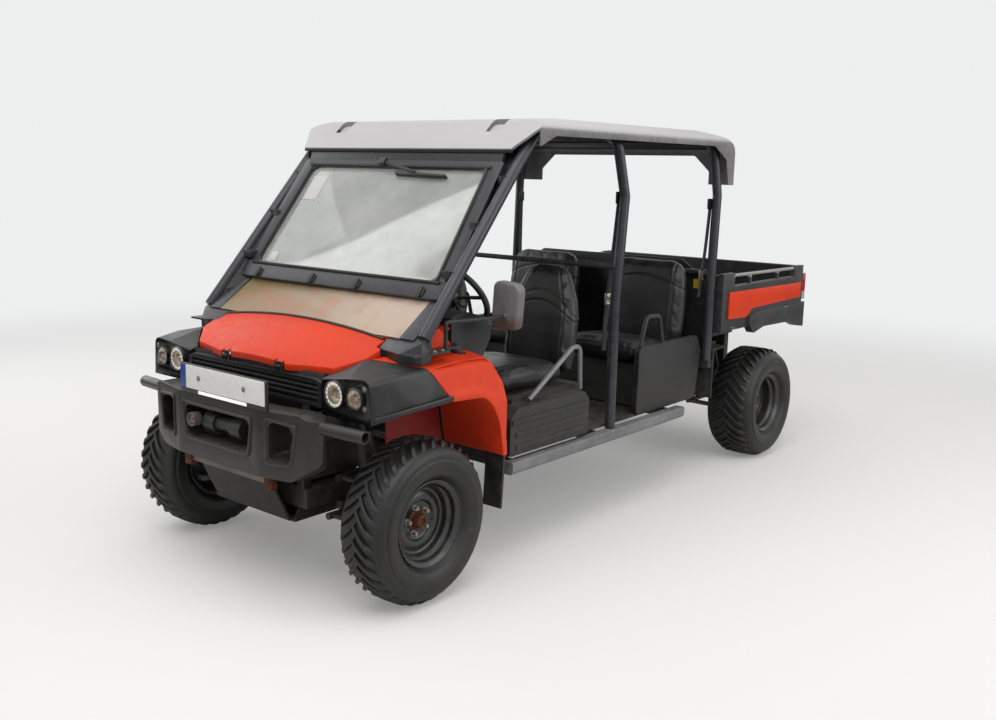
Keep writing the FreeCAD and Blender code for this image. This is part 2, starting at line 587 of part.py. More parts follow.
HOOD_ROWS = [
    # y, height in the middle, crown over the sheet's half width
    (-300, 858, 100),
    (-255, 893, 100),
    (-200, 930, 88),
    (-100, 982, 64),
    (60, 1046, 60),
]
hood = crowned_sheet(HOOD_ROWS, HOOD_FLANGE).common(hood_plan(0, 700, 1100))
hood = hood.cut(crowned_sheet(HOOD_ROWS, HOOD_FLANGE + 20, -SHEET).common(hood_plan(-SHEET, 700, 1100)))
barrel_ends = [(x, HOOD_HINGE[0], HOOD_HINGE[1]) for x in HOOD_BARREL]
barrel = rod(barrel_ends[0], barrel_ends[1], HOOD_PIN + 3)
barrel_bore = rod(barrel_ends[0], barrel_ends[1], HOOD_PIN + 0.1)
notches = []
for low in (HOOD_BARREL[0] - 11, HOOD_BARREL[1] - 1):
    notches += both(box(low, low + 12, HOOD_NOSE_Y - 10, HOOD_NOSE_Y + 9, 800, 920))
save("hood", fuse([hood.cut(notches)] + both(barrel)).cut(both(barrel_bore)))

# Cowl: the fixed red panel behind the hood, under the clear lower screen, down to the dash

COWL_ROWS = [(-60, 936, 40), (262, 1060, 40)]
COWL_FRONT = HOOD_REAR_Y + PANEL_GAP
GUSSET_REAR = 60.0


def cowl_plan(grow, low, high):
    g = grow
    return prism(both_sides([(HOOD_HALF_REAR + g, COWL_FRONT - g), (HOOD_HALF_REAR + g, GUSSET_REAR + 12 - g),
                             (594 + g, GUSSET_REAR + 12 - g), (594 + g, 250)]), "z", low, high)


save("cowl", crowned_sheet(COWL_ROWS, SHEET).common(cowl_plan(0, 800, 1200)))

# Front corners: a black lamp fairing and a red fender share one moulded form over the wheel

CORNER_SECTIONS = [
    # y, height at the inner edge, shoulder (x, z), ridge (x, z, radius), x of the side's foot
    (-250, 862, (560, 884), (664, 893, 30), 676),
    (-130, 900, (515, 928), (690, 900, 24), 712),
    (40, 930, (560, 938), (702, 902, 24), 735),
    (230, 938, (590, 944), (704, 906, 24), 737),
    (340, 915, (590, 922), (702, 905, 30), 737),
    (385, 890, (590, 896), (696, 884, 36), 737),
    (418, 855, (590, 862), (692, 850, 40), 737),
    (436, 785, (590, 792), (702, 782, 34), 737),
]
CORNER_FOOT = 720.0
REAR_LIP_Y = 437.0
FENDER_FOOT = 498.0
ARCH_EDGE = [(-500, 600), (-260, 728), (-75, 757), (124, 767), (316, 755, 55), (386, 648), (414, 500)]


def corner_block(inset):
    """The corner's solid form, or its hollow: that one is closed in front and behind."""
    wires = []
    for y, inner_top, shoulder, ridge, foot_x in CORNER_SECTIONS:
        if y < -200:
            y += inset
        if y > 400:
            y -= inset
        wires.append(outline([(415 - inset, CORNER_FOOT - 2 * inset), (415 - inset, inner_top - inset),
                              (shoulder[0], shoulder[1] - inset), (ridge[0] - inset, ridge[1] - inset, ridge[2]),
                              (foot_x - inset, CORNER_FOOT - 2 * inset)], "y", y))
    return Part.makeLoft(wires, True, True)


corner = corner_block(0)
arch = prism(ARCH_EDGE + [(414, 200), (-500, 200)], "x", 380, 800)
inner_wall = box(400, 422, -195, 500, 700, 1100)
shell = corner.cut(corner_block(SHEET)).cut(inner_wall).cut(hood_plan(PANEL_GAP, 700, 1100))
shell = shell.cut(box(0, HOOD_HALF_REAR + PANEL_GAP, HOOD_REAR_Y - PANEL_GAP, 500, 700, 1100))
shell = shell.cut(box(0, 606, GUSSET_REAR + 6, 500, 700, 1100)).cut(arch)
BORDER = [(124, 690), (124, 760), (14, 903), (-118, 934), (-118, 1060)]
fairing = shell.common(prism([(-300, 690)] + BORDER + [(-300, 1060)], "x", 400, 760))
lamps = []
for x, radius in (LAMP_INNER, LAMP_OUTER):
    fairing = fairing.cut(Part.makeCylinder(radius + SEAT_GAP, 60, V(x, LAMP_FACE_Y - 40, LAMP_Z), V(0, 1, 0)))
    lamps.append(rod((x, LAMP_FACE_Y - 22, LAMP_Z), (x, LAMP_FACE_Y + 40, LAMP_Z), radius))
save("lamp_fairings", *both(fairing))
save("front_lamps", tow_lamp, *(lamps + [mirrored(lamp) for lamp in lamps]))

red_border = [(y + SEAT_GAP, z + SEAT_GAP) for y, z in BORDER]
fender_top = shell.cut(prism([(-300, 680)] + red_border + [(-300, 1070)], "x", 400, 760))
fender_side = BODY_OUTER + 2
side_profile = prism([(300, 860), (400, 860, 20), (434, 800, 20), (REAR_LIP_Y, 728), (REAR_LIP_Y, FENDER_FOOT),
                      (400, FENDER_FOOT), (300, 640)], "x", fender_side - SHEET, fender_side)
rear_wrap = box(BODY_OUTER - 70, fender_side - 1, REAR_LIP_Y - SHEET, REAR_LIP_Y, FENDER_FOOT, 790)
lip = prism([(103, 812), (330, 798, 50), (420, 668, 30), (REAR_LIP_Y, 640), (REAR_LIP_Y, FENDER_FOOT),
             (400, FENDER_FOOT), (300, 640), (133, 740)], "x", fender_side - 2, fender_side + 7)
LINER_FRONT = 182.0
liner_start = ARCH_EDGE[3][1] + (LINER_FRONT - ARCH_EDGE[3][0]) * (ARCH_EDGE[4][1] - ARCH_EDGE[3][1]) / (
    ARCH_EDGE[4][0] - ARCH_EDGE[3][0])
liner = prism([(LINER_FRONT, liner_start)] + ARCH_EDGE[4:] + [(420, 500), (392, 650), (319, 761, 59),
              (LINER_FRONT, liner_start + 6)], "x", 421, fender_side - 1)
peak = prism([(GUSSET_REAR + 6, 926), (GUSSET_REAR + 6, 975, 10), (166, 1031, 20), (244, 950), (244, 926)],
             "x", 606, 612)
leg_hole = bent_tube(CAGE_LEG, CAGE_LEG_TUBE + PANEL_GAP, 60)
leg_slot = box(590, 640, 420, 450, 700, 750)
fender = fuse([fender_top, side_profile.cut(arch), rear_wrap, lip.cut(arch), liner, peak]).cut([leg_hole, leg_slot])
save("front_fenders", *both(fender))
flap = prism([(424, FENDER_FOOT - SEAT_GAP), (436, FENDER_FOOT - SEAT_GAP), (420, 275), (410, 275)], "x", 640, 735)

# Windscreen: frame, glass and header in the raked plane; a clear lower panel ahead of it

RAKE = math.degrees(math.atan2(SCREEN_HEAD[1] - SCREEN_FOOT[1], SCREEN_HEAD[0] - SCREEN_FOOT[0]))
SCREEN_HEIGHT = math.hypot(SCREEN_HEAD[1] - SCREEN_FOOT[1], SCREEN_HEAD[0] - SCREEN_FOOT[0])


def raked(shape):
    """From flat, with y up the slope, to the windscreen's plane."""
    shape.rotate(V(0, 0, 0), V(1, 0, 0), RAKE)
    shape.translate(V(0, SCREEN_FOOT[0], SCREEN_FOOT[1]))
    return shape


frame_outer = prism([(-SCREEN_HALF_FOOT, 0), (SCREEN_HALF_FOOT, 0), (SCREEN_HALF_HEAD, SCREEN_HEIGHT),
                     (-SCREEN_HALF_HEAD, SCREEN_HEIGHT)], "z", 0, SCREEN_FRAME, 14)
pane = [(-550, 77), (550, 77), (526, SCREEN_HEIGHT - 40), (-526, SCREEN_HEIGHT - 40)]
opening = prism(pane, "z", -5, SCREEN_FRAME + 5, 42)
groove = prism([(p[0] * 1.014, p[1] + (8 if p[1] > 100 else -8)) for p in pane], "z", 8, 8 + GLASS + 2 * SEAT_GAP, 46)
screen_frame = raked(frame_outer.cut(opening).cut(groove))
glass = prism([(p[0] * 1.012, p[1] + (7 if p[1] > 100 else -7)) for p in pane], "z", 8 + SEAT_GAP,
              8 + SEAT_GAP + GLASS, 45)
save("windscreen_glass", raked(glass))

panel_foot = (12.0, 998.0)
panel_head = (SCREEN_FOOT[0] + 2.6, SCREEN_FOOT[1] - 3.25)
lower = prism([panel_foot, (panel_foot[0] - 4, panel_foot[1] + 4), (panel_head[0] - 4, panel_head[1] + 4), panel_head],
              "x", -555, 555)
save("lower_screen", lower)
cheek = prism([panel_foot, (panel_foot[0] - 4, panel_foot[1] + 4), (SCREEN_FOOT[0] - 6.4, SCREEN_FOOT[1] + 4.7),
               (SCREEN_FOOT[0] - 2, SCREEN_FOOT[1] + 8), (SCREEN_FOOT[0] + 1, SCREEN_FOOT[1] + 5), panel_head],
              "x", 556, 630)
header = prism([(SCREEN_HEAD[0], SCREEN_HEAD[1] - 6), (SCREEN_HEAD[0] - 18, SCREEN_HEAD[1] + 10),
                (SCREEN_HEAD[0] - 6, 1704), (SCREEN_HEAD[0] + 12, 1704)], "x", -585, 585, 3)
clamps = []
for z in (1240, 1420, 1600):
    y = pillar_y(z)
    clamp = box(SCREEN_HALF_HEAD - 12, CAGE_X - 10, y - 30, y + 16, z - 26, z + 4)
    clamps += both(clamp.cut(rod(pillar_axis[0], pillar_axis[1], CAGE_TUBE + SEAT_GAP)))
save("windscreen_frame", fuse([screen_frame, header] + clamps + both(cheek)))
hub = (-70.0, SCREEN_HEIGHT - 18)
arm_end = (150.0, SCREEN_HEIGHT - 70)
wiper_face = SCREEN_FRAME + SEAT_GAP
glass_face = 8 + SEAT_GAP + GLASS
wiper = fuse([prism([(hub[0] - 18, hub[1] - 20), (hub[0] + 22, hub[1] - 20), (hub[0] + 22, hub[1] + 14),
                     (hub[0] - 18, hub[1] + 14)], "z", wiper_face, wiper_face + 24, 8),
              prism([(hub[0] - 6, hub[1] - 8), (arm_end[0], arm_end[1] - 5), (arm_end[0] + 4, arm_end[1] + 5),
                     (hub[0] + 6, hub[1] + 8)], "z", wiper_face + 8, wiper_face + 16, 2),
              prism([(30, arm_end[1] - 8), (330, arm_end[1] - 16), (330, arm_end[1] - 6), (30, arm_end[1] + 4)],
                    "z", glass_face + SEAT_GAP, wiper_face + 10, 3)])
save("wiper", raked(wiper))

# Roll cage: front pillars, middle and rear hoops, roof rails and the bar behind the front seats

foot_plate = fuse([box(608, CAGE_X + 30, -50, GUSSET_REAR, FOOT_PLATE_Z, FOOT_PLATE_Z + 8),
                   box(CAGE_X, CAGE_X + 30, GUSSET_REAR - 5, 145, FOOT_PLATE_Z, FOOT_PLATE_Z + 8),
                   box(616, 650, GUSSET_REAR - 5, 250, FOOT_PLATE_Z, FOOT_PLATE_Z + 8)])
panel_slope = (panel_head[1] - panel_foot[1]) / (panel_head[0] - panel_foot[0])
GUSSET_FRONT = -50.0
gusset = prism([(496, -38), (615, GUSSET_FRONT), (672, 10), (672, GUSSET_REAR), (496, GUSSET_REAR)], "z", 860, 1100)
gusset_side = [(y, panel_foot[1] + panel_slope * (y - panel_foot[0]) - 1) for y in (GUSSET_FRONT, GUSSET_REAR)]
gusset = gusset.common(prism([(GUSSET_FRONT, 880)] + gusset_side + [(GUSSET_REAR, 880)], "x", 400, 700))
gusset = gusset.cut([corner_block(-1), crowned_sheet(COWL_ROWS, 150, 1).common(cowl_plan(PANEL_GAP, 700, 1200))])
pillar = rod(pillar_axis[0], pillar_axis[1], CAGE_TUBE).common(box(500, 800, -200, 900, FOOT_PLATE_Z, 1900))
inner_leg = bent_tube(CAGE_LEG, CAGE_LEG_TUBE, 60)
cross_y = pillar_y(CROSS_Z)
front_top = rod((-CAGE_X + 22, cross_y, CROSS_Z), (CAGE_X - 22, cross_y, CROSS_Z), 18)
front_hoop = fuse(both(pillar) + both(foot_plate) + both(gusset) + both(inner_leg) + [front_top])
save("cage_front", front_hoop)


def hoop(y, foot_z, lean):
    """A tall hoop of one bent tube across the cabin."""
    side = [(CAGE_X, y, foot_z), (CAGE_X, y, 1000), (CAGE_X, y + lean, 1520), (CAGE_X - 24, y, CAGE_TOP)]
    return bent_tube(side + [(-p[0], p[1], p[2]) for p in reversed(side)], CAGE_TUBE, 70)


middle_bar = rod((-CAGE_X, HOOP_B_Y + 6, 1196), (CAGE_X, HOOP_B_Y + 6, 1196), 12)
roof_rail = rod((CAGE_X - 46, PILLAR_HEAD[0] + 24, CAGE_TOP), (CAGE_X - 46, HOOP_C_Y - CAGE_TUBE - SEAT_GAP, CAGE_TOP),
                RAIL_TUBE)
save("cage_middle", fuse([hoop(HOOP_B_Y, SILL_BOTTOM + SILL_HEIGHT + SEAT_GAP, 50), middle_bar, roof_rail,
                          mirrored(roof_rail)]))
rear_bar = rod((-CAGE_X, HOOP_C_Y + 4, 1110), (CAGE_X, HOOP_C_Y + 4, 1110), 14)
save("cage_rear", fuse([hoop(HOOP_C_Y, REAR_HOOP_FOOT, 20), rear_bar]))

# Roof: a thick moulded shell with a front visor, side fascias and rear corner legs


def roof_block(inset):
    """The roof's outer or inner form: its side profile crossed with its section."""
    drop = 400 if inset else 0
    side = prism([(ROOF_FRONT + inset, 1696 - drop), (ROOF_FRONT + inset, 1712 - inset, 6),
                  (700 + inset, 1836 - inset, 80), (1300, 1866 - inset, 600), (2180, 1852 - inset, 120),
                  (ROOF_REAR - inset, 1770 - inset, 60), (ROOF_REAR - inset, 1572 - drop),
                  (2290, 1572 - drop), (2255, 1700 - drop), (2120, ROOF_FASCIA - drop),
                  (760, ROOF_FASCIA - drop), (ROOF_FRONT + 30, 1696 - drop)],
                 "x", -ROOF_HALF - 10, ROOF_HALF + 10)
    half = ROOF_HALF - inset
    section = prism([(-half, 1200), (half, 1200), (half, ROOF_EDGE - inset, 34), (560, ROOF_TOP - 14 - inset, 60),
                     (300, ROOF_TOP - inset, 200), (-300, ROOF_TOP - inset, 200),
                     (-560, ROOF_TOP - 14 - inset, 60), (-half, ROOF_EDGE - inset, 34)],
                    "y", ROOF_FRONT - 10, ROOF_REAR + 10)
    roof_form = side.common(section)
    lowered = side.copy()
    lowered.translate(V(0, 0, -ROOF_VALLEY[2]))
    valley = box(ROOF_VALLEY[0] - inset, ROOF_VALLEY[1] + inset, ROOF_FRONT + 80 - inset, HOOP_C_Y - 85 + inset,
                 1500, 2000)
    return roof_form.cut(both(valley.cut(lowered)))


rear_window = prism([(-560, 1500), (560, 1500), (560, 1640), (470, 1722), (-470, 1722), (-560, 1640)],
                    "y", ROOF_REAR - 200, ROOF_REAR + 20, 20)
front_corner = prism([(ROOF_HALF + 20, ROOF_FRONT - 20), (ROOF_HALF + 20, 690), (ROOF_HALF - 92, ROOF_FRONT - 20)],
                     "z", 1500, 2000)
bosses = []
for y in (HOOP_B_Y, HOOP_C_Y):
    bosses += both(box(360, 412, y - 22, y + 22, CAGE_TOP + CAGE_TUBE + SEAT_GAP, ROOF_TOP - ROOF_SHEET - 4))
roof = roof_block(0).cut(roof_block(ROOF_SHEET)).cut([rear_window, front_corner, mirrored(front_corner)])
roof = fuse([roof] + bosses)
save("roof", roof)

# Cabin tub: floor, toe board and heel boards

floor = [box(-SILL_INNER + 4, SILL_INNER - 4, CABIN_FRONT, CABIN_REAR, FLOOR_Z, FLOOR_Z + FLOOR_SHEET)]
toe = prism([(CABIN_FRONT, FLOOR_Z), (CABIN_FRONT + 8, FLOOR_Z), (CABIN_FRONT - 2, 640), (372, 800), (346, 846),
             (339, 842), (364, 796), (490, 636)], "x", -604, 604)
floor.append(toe)
save("cabin_floor", fuse(floor))

# Dash with its cowl, steering column and wheel

dash = prism([(250.3, 948), (250.3, 1058, 6), (330, 1076, 30), (470, 1040, 40), (492, 960, 30), (440, 880, 20),
              (360, 860, 20)], "x", -600, 600)
COLUMN_TOP = V(365, 502, 1096)
COLUMN_TILT = math.radians(38)
column_axis = V(0, math.cos(COLUMN_TILT), math.sin(COLUMN_TILT))
column_head = COLUMN_TOP - column_axis * 22
column = rod(COLUMN_TOP - column_axis * 150, column_head, 26)
dash_bracket = box(590, CAGE_LEG[0][0] - CAGE_LEG_TUBE - SEAT_GAP, 312, 338, 842, 900)
save("dash", fuse([dash, column] + both(dash_bracket)))
wheel_ring = Part.makeTorus(168, 13, COLUMN_TOP + column_axis * 22, column_axis)
hub_disc = rod(COLUMN_TOP - column_axis * 21.5, COLUMN_TOP + column_axis * 14, 40)
spokes = []
for angle in (0, 180, 270):
    across = V(math.cos(math.radians(angle)), 0, 0)
    up = column_axis.cross(V(1, 0, 0)) * -1
    toward = across + up * math.sin(math.radians(angle))
    spokes.append(rod(COLUMN_TOP, COLUMN_TOP + column_axis * 20 + toward * 166, 8))
save("steering_wheel", fuse([wheel_ring, hub_disc] + spokes))

# Seat bases with side lockers, then cushions and backrests as plain forms

base = prism([(600, FLOOR_Z + 8.3), (1160, FLOOR_Z + 8.3), (1140, 672), (640, 672)], "x", -600, 600, 12)
locker = prism([(548, FLOOR_Z + 8.3, 8), (1120, FLOOR_Z + 8.3, 8), (1120, 610, 40), (1080, 650, 20), (600, 650, 20),
                (548, 610, 40)], "x", 470, 668)
rear_base = prism([(1690, FLOOR_Z + 8.3), (2140, FLOOR_Z + 8.3), (2140, 672), (1720, 672)], "x", -600, 600, 12)
save("seat_bases", fuse([base, locker, mirrored(locker)]), rear_base)
CUSHION_HALF = 245.0
SEAT_X = 345.0
SEATS = [
    # row, front of the cushion, rear of the cushion, backrest top, foot, lean, half width of the back
    ("front", 590, 1090, 1212, 672.3, 90, 225),
    ("rear", 1630, 2020, 1200, 672.3, 70, 262),
]
for row, front, rear, top, foot, lean, half_back in SEATS:
    cushion = prism([(front, 700, 30), (front + 10, 800, 40), (rear - 70, 782, 40), (rear, 672.3 + 0.3, 10),
                     (front + 60, 672.3 + 0.3, 10)], "x", SEAT_X - CUSHION_HALF, SEAT_X + CUSHION_HALF)
    back = prism([(rear + 6, 762, 20), (rear + 6 + lean, top, 36), (rear + 90 + lean, top - 10, 30),
                  (rear + 100, foot, 10), (rear + 12, foot, 10)],
                 "x", SEAT_X - half_back, SEAT_X + half_back)
    save(row + "_seats", *(both(cushion) + both(back)))

MUD_TOP = 700.0
# Hip rails beside the seats and the black side panels below the rear door openings

hip = bent_tube([(628, 720, 659.8), (628, 1030, 850), (628, 1090, 850), (628, 1100, 651)], 11, 30)
save("front_hip_rails", *both(hip))
rear_hip = bent_tube([(640, 1590, 786), (640, 1640, 930), (640, 1760, 925), (640, 1800, 786)], 11, 34)
guard = prism([(1560, FLOOR_Z + 8.3), (2150, FLOOR_Z + 8.3), (2190, 700), (2140, 785), (1570, 785)], "x", 622, 650, 30)
screen_face = HOOP_C_Y + CAGE_TUBE + SEAT_GAP
screen = prism([(-666, MUD_TOP + SEAT_GAP), (666, MUD_TOP + SEAT_GAP), (666, 960), (600, 1080), (470, 1170),
                (-470, 1170), (-600, 1080), (-666, 960)], "y", screen_face, screen_face + 8, 40)
save("rear_panels", screen, *both(fuse([guard, rear_hip])))
mud_face = HOOP_C_Y + 22 + SEAT_GAP
mud = prism([(mud_face, MUD_TOP), (2420, MUD_TOP), (2420, MUD_TOP - 8), (mud_face + 10, MUD_TOP - 8),
             (mud_face + 10, 430), (mud_face, 430)], "x", 420, 690)
mud = mud.cut(rod((CAGE_X, HOOP_C_Y, 620), (CAGE_X, HOOP_C_Y, 720), CAGE_TUBE + SEAT_GAP))
save("mudguards", *(both(mud) + both(flap)))

# Mirrors on arms from the pillars' feet

mirror_arm = bent_tube([(CAGE_X + 18, 130, FOOT_PLATE_Z + 8 + SEAT_GAP), (CAGE_X + 18, 130, 1062),
                        (CAGE_X + 60, 320, 1062), (CAGE_X + 62, 449, 1062)], 8, 14)
mirror_head = prism([(CAGE_X - 12, 1012, 20), (CAGE_X + 118, 1006, 24), (CAGE_X + 132, 1190, 36),
                     (CAGE_X, 1200, 30)], "y", 424, 474)
mirror_head = mirror_head.makeFillet(12, mirror_head.Edges)
save("mirrors", *both(fuse([mirror_arm, mirror_head])))

# Cargo bed: floor, sides and headboard in one moulding, hinged behind, with corner posts

bed_section = [(-BED_HALF, BED_WALL_TOP, 8), (-BED_HALF, 782, 10), (BED_HALF, 782, 10), (BED_HALF, BED_WALL_TOP, 8)]
bed_outer = prism(bed_section, "y", BED_FRONT, BED_REAR)
bed_inner = box(-BED_HALF + BED_WALL, BED_HALF - BED_WALL, BED_FRONT + BED_WALL, BED_REAR + 20, BED_FLOOR_Z + 6, 1200)
bed_ribs = [box(-600, 600, y, y + 30, 752, 783) for y in (2420, 2680, 2960)]
bed_ear = prism([(BED_HINGE[0] - 30, 786), (BED_HINGE[0] + 30, 786), (BED_HINGE[0] + 20, BED_HINGE[1] - 22, 16),
                 (BED_HINGE[0] - 20, BED_HINGE[1] - 22, 16)], "x", BED_RAIL_X + 8, BED_RAIL_X + 30)
bed_ear = bed_ear.cut(rod((BED_RAIL_X, BED_HINGE[0], BED_HINGE[1]), (BED_RAIL_X + 60, BED_HINGE[0], BED_HINGE[1]),
                          HINGE_PIN + 0.1))
side_panel = prism([(2376, 851), (2560, 845, 20), (2604, 848, 10), (2650, 887, 30), (BED_REAR - 45, 898),
                    (BED_REAR - 45, 988), (2376, 998)], "x", BED_HALF + SEAT_GAP, BED_HALF + 12)
save("bed_side_panels", *both(side_panel))
skirt = prism([(2668, 746, 20), (2612, 800, 30), (2630, 850, 20), (2720, 864), (BED_REAR, 868), (BED_REAR, 715),
               (3250, 730), (3150, 765, 30), (2800, 772)], "x", BED_HALF - 20, BED_HALF + 22)
headboard = box(-BED_HALF + 5, BED_HALF - 5, BED_FRONT, BED_FRONT + BED_WALL, BED_WALL_TOP - 20, BED_TOP_Z)
posts = [box(BED_HALF - BED_WALL, BED_HALF, BED_FRONT, FRONT_POST_END, BED_WALL_TOP - 10, 1100),
         box(BED_HALF - BED_WALL, BED_HALF, REAR_POST_START, BED_REAR, BED_WALL_TOP - 10, 1090)]
rail_bar = rod((BED_HALF - 14, FRONT_POST_END - 5, 1085), (BED_HALF - 14, REAR_POST_START + 5, 1077), 9)
rail_feet = [box(BED_HALF - 22, BED_HALF - 6, y - 12, y + 12, BED_WALL_TOP - 4, 1080) for y in (2650, 3010)]
bed_side = posts + [skirt, rail_bar] + rail_feet
gate_ear = box(BED_HALF - 38, BED_HALF, BED_REAR - 2, REAR_END - 3, 775, 862)
gate_ear = gate_ear.cut(rod((600, GATE_HINGE[0], GATE_HINGE[1]), (750, GATE_HINGE[0], GATE_HINGE[1]), GATE_PIN + 0.1))
bed_parts = [bed_outer.cut(bed_inner), headboard] + bed_ribs + both(gate_ear) + both(bed_ear)
for shape in bed_side:
    bed_parts += both(shape)
save("cargo_bed", fuse(bed_parts))

# Tailgate on its lower pins

gate = prism([(BED_REAR + 6, GATE_HINGE[1] - 10), (BED_REAR + 6 + GATE_THICK, GATE_HINGE[1] - 10),
              (BED_REAR + 6 + GATE_THICK, BED_TOP_Z - 8), (BED_REAR + 6, BED_TOP_Z - 8)],
             "x", -GATE_HALF, GATE_HALF, 6)
gate_pin = rod((GATE_HALF - 10, GATE_HINGE[0], GATE_HINGE[1]), (BED_HALF - 4, GATE_HINGE[0], GATE_HINGE[1]), GATE_PIN)
save("tailgate", fuse([gate, gate_pin, mirrored(gate_pin)]))
tail = box(BED_HALF - 40, BED_HALF + 4, BED_REAR + SEAT_GAP, REAR_END, 880, 1040)
save("tail_lamps", *both(tail))
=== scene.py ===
import json
import math

import bmesh
import bpy
from mathutils import Matrix, Vector


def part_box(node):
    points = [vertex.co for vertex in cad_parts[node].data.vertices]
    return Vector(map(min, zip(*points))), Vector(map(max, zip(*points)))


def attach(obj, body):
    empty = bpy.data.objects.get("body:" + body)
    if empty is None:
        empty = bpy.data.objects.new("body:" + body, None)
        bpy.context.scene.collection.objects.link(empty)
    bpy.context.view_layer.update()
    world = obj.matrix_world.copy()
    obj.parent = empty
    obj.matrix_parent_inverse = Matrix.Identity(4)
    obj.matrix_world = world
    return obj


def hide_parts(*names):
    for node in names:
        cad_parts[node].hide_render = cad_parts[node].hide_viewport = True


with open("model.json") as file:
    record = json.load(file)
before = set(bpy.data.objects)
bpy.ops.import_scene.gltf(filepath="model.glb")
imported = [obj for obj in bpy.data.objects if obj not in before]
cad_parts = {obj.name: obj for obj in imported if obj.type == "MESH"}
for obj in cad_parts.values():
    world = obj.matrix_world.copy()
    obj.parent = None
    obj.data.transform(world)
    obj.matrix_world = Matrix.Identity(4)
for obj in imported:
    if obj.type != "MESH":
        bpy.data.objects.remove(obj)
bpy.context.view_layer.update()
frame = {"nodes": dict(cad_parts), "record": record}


def in_scene(name, data):
    """A new object in the scene."""
    made = bpy.data.objects.new(name, data)
    bpy.context.scene.collection.objects.link(made)
    return made


# The camera of the photograph: it stands ahead of the left front wheel at about eye height.
# Its place comes from the lamps, wheels, sills, roof corners and bed corners. Places are in metres and,
# as in the part's source, y is measured from the front axle and moved back when a piece is settled.
rim_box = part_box("rim_front_left")
FRONT_AXLE = Vector((0, (rim_box[0].y + rim_box[1].y) / 2, 0))
PHOTO_WIDTH = 996
EYE = Vector((3.23, -2.67, 1.632))
YAW, PITCH, ROLL = -0.685, 0.182, 0.021
FOCAL_PIXELS = 1021.2
OFF_CENTRE = (1.5, -3.3)

forward = Vector((math.sin(YAW) * math.cos(PITCH), math.cos(YAW) * math.cos(PITCH), -math.sin(PITCH)))
level = Vector((math.cos(YAW), -math.sin(YAW), 0))
upright = level.cross(forward)
across = level * math.cos(ROLL) + upright * math.sin(ROLL)
upwards = upright * math.cos(ROLL) - level * math.sin(ROLL)
lens = bpy.data.cameras.new("photo_camera")
lens.sensor_width = 36
lens.lens = FOCAL_PIXELS / PHOTO_WIDTH * lens.sensor_width
lens.shift_x = -OFF_CENTRE[0] / PHOTO_WIDTH
lens.shift_y = OFF_CENTRE[1] / PHOTO_WIDTH
camera = in_scene("photo_camera", lens)
camera.matrix_world = Matrix((
    (across.x, upwards.x, -forward.x, EYE.x), (across.y, upwards.y, -forward.y, EYE.y + FRONT_AXLE.y),
    (across.z, upwards.z, -forward.z, EYE.z), (0, 0, 0, 1)))
bpy.context.scene.camera = camera

# Helpers for finishes: a shader value that takes Python's operators, and a material that adds its nodes.


class Value:
    """A shader value; Python's operators on it add Math nodes."""

    def __init__(self, finish, socket):
        self.finish = finish
        self.socket = socket

    def sum(self, operation, first, second=0.0):
        return self.finish.add("Math", {"operation": operation}, {0: first, 1: second})

    def __add__(self, other):
        return self.sum("ADD", self, other)

    def __sub__(self, other):
        return self.sum("SUBTRACT", self, other)

    def __rsub__(self, other):
        return self.sum("SUBTRACT", other, self)

    def __mul__(self, other):
        return self.sum("MULTIPLY", self, other)

    def above(self, low, high):
        """0 under low, 1 over high and smooth between."""
        ramp = {"interpolation_type": "SMOOTHSTEP", "clamp": True}
        return self.finish.add("MapRange", ramp, {"Value": self, "From Min": low, "From Max": high})

    def abs(self):
        return self.sum("ABSOLUTE", self)

    def most(self, other):
        return self.sum("MAXIMUM", self, other)


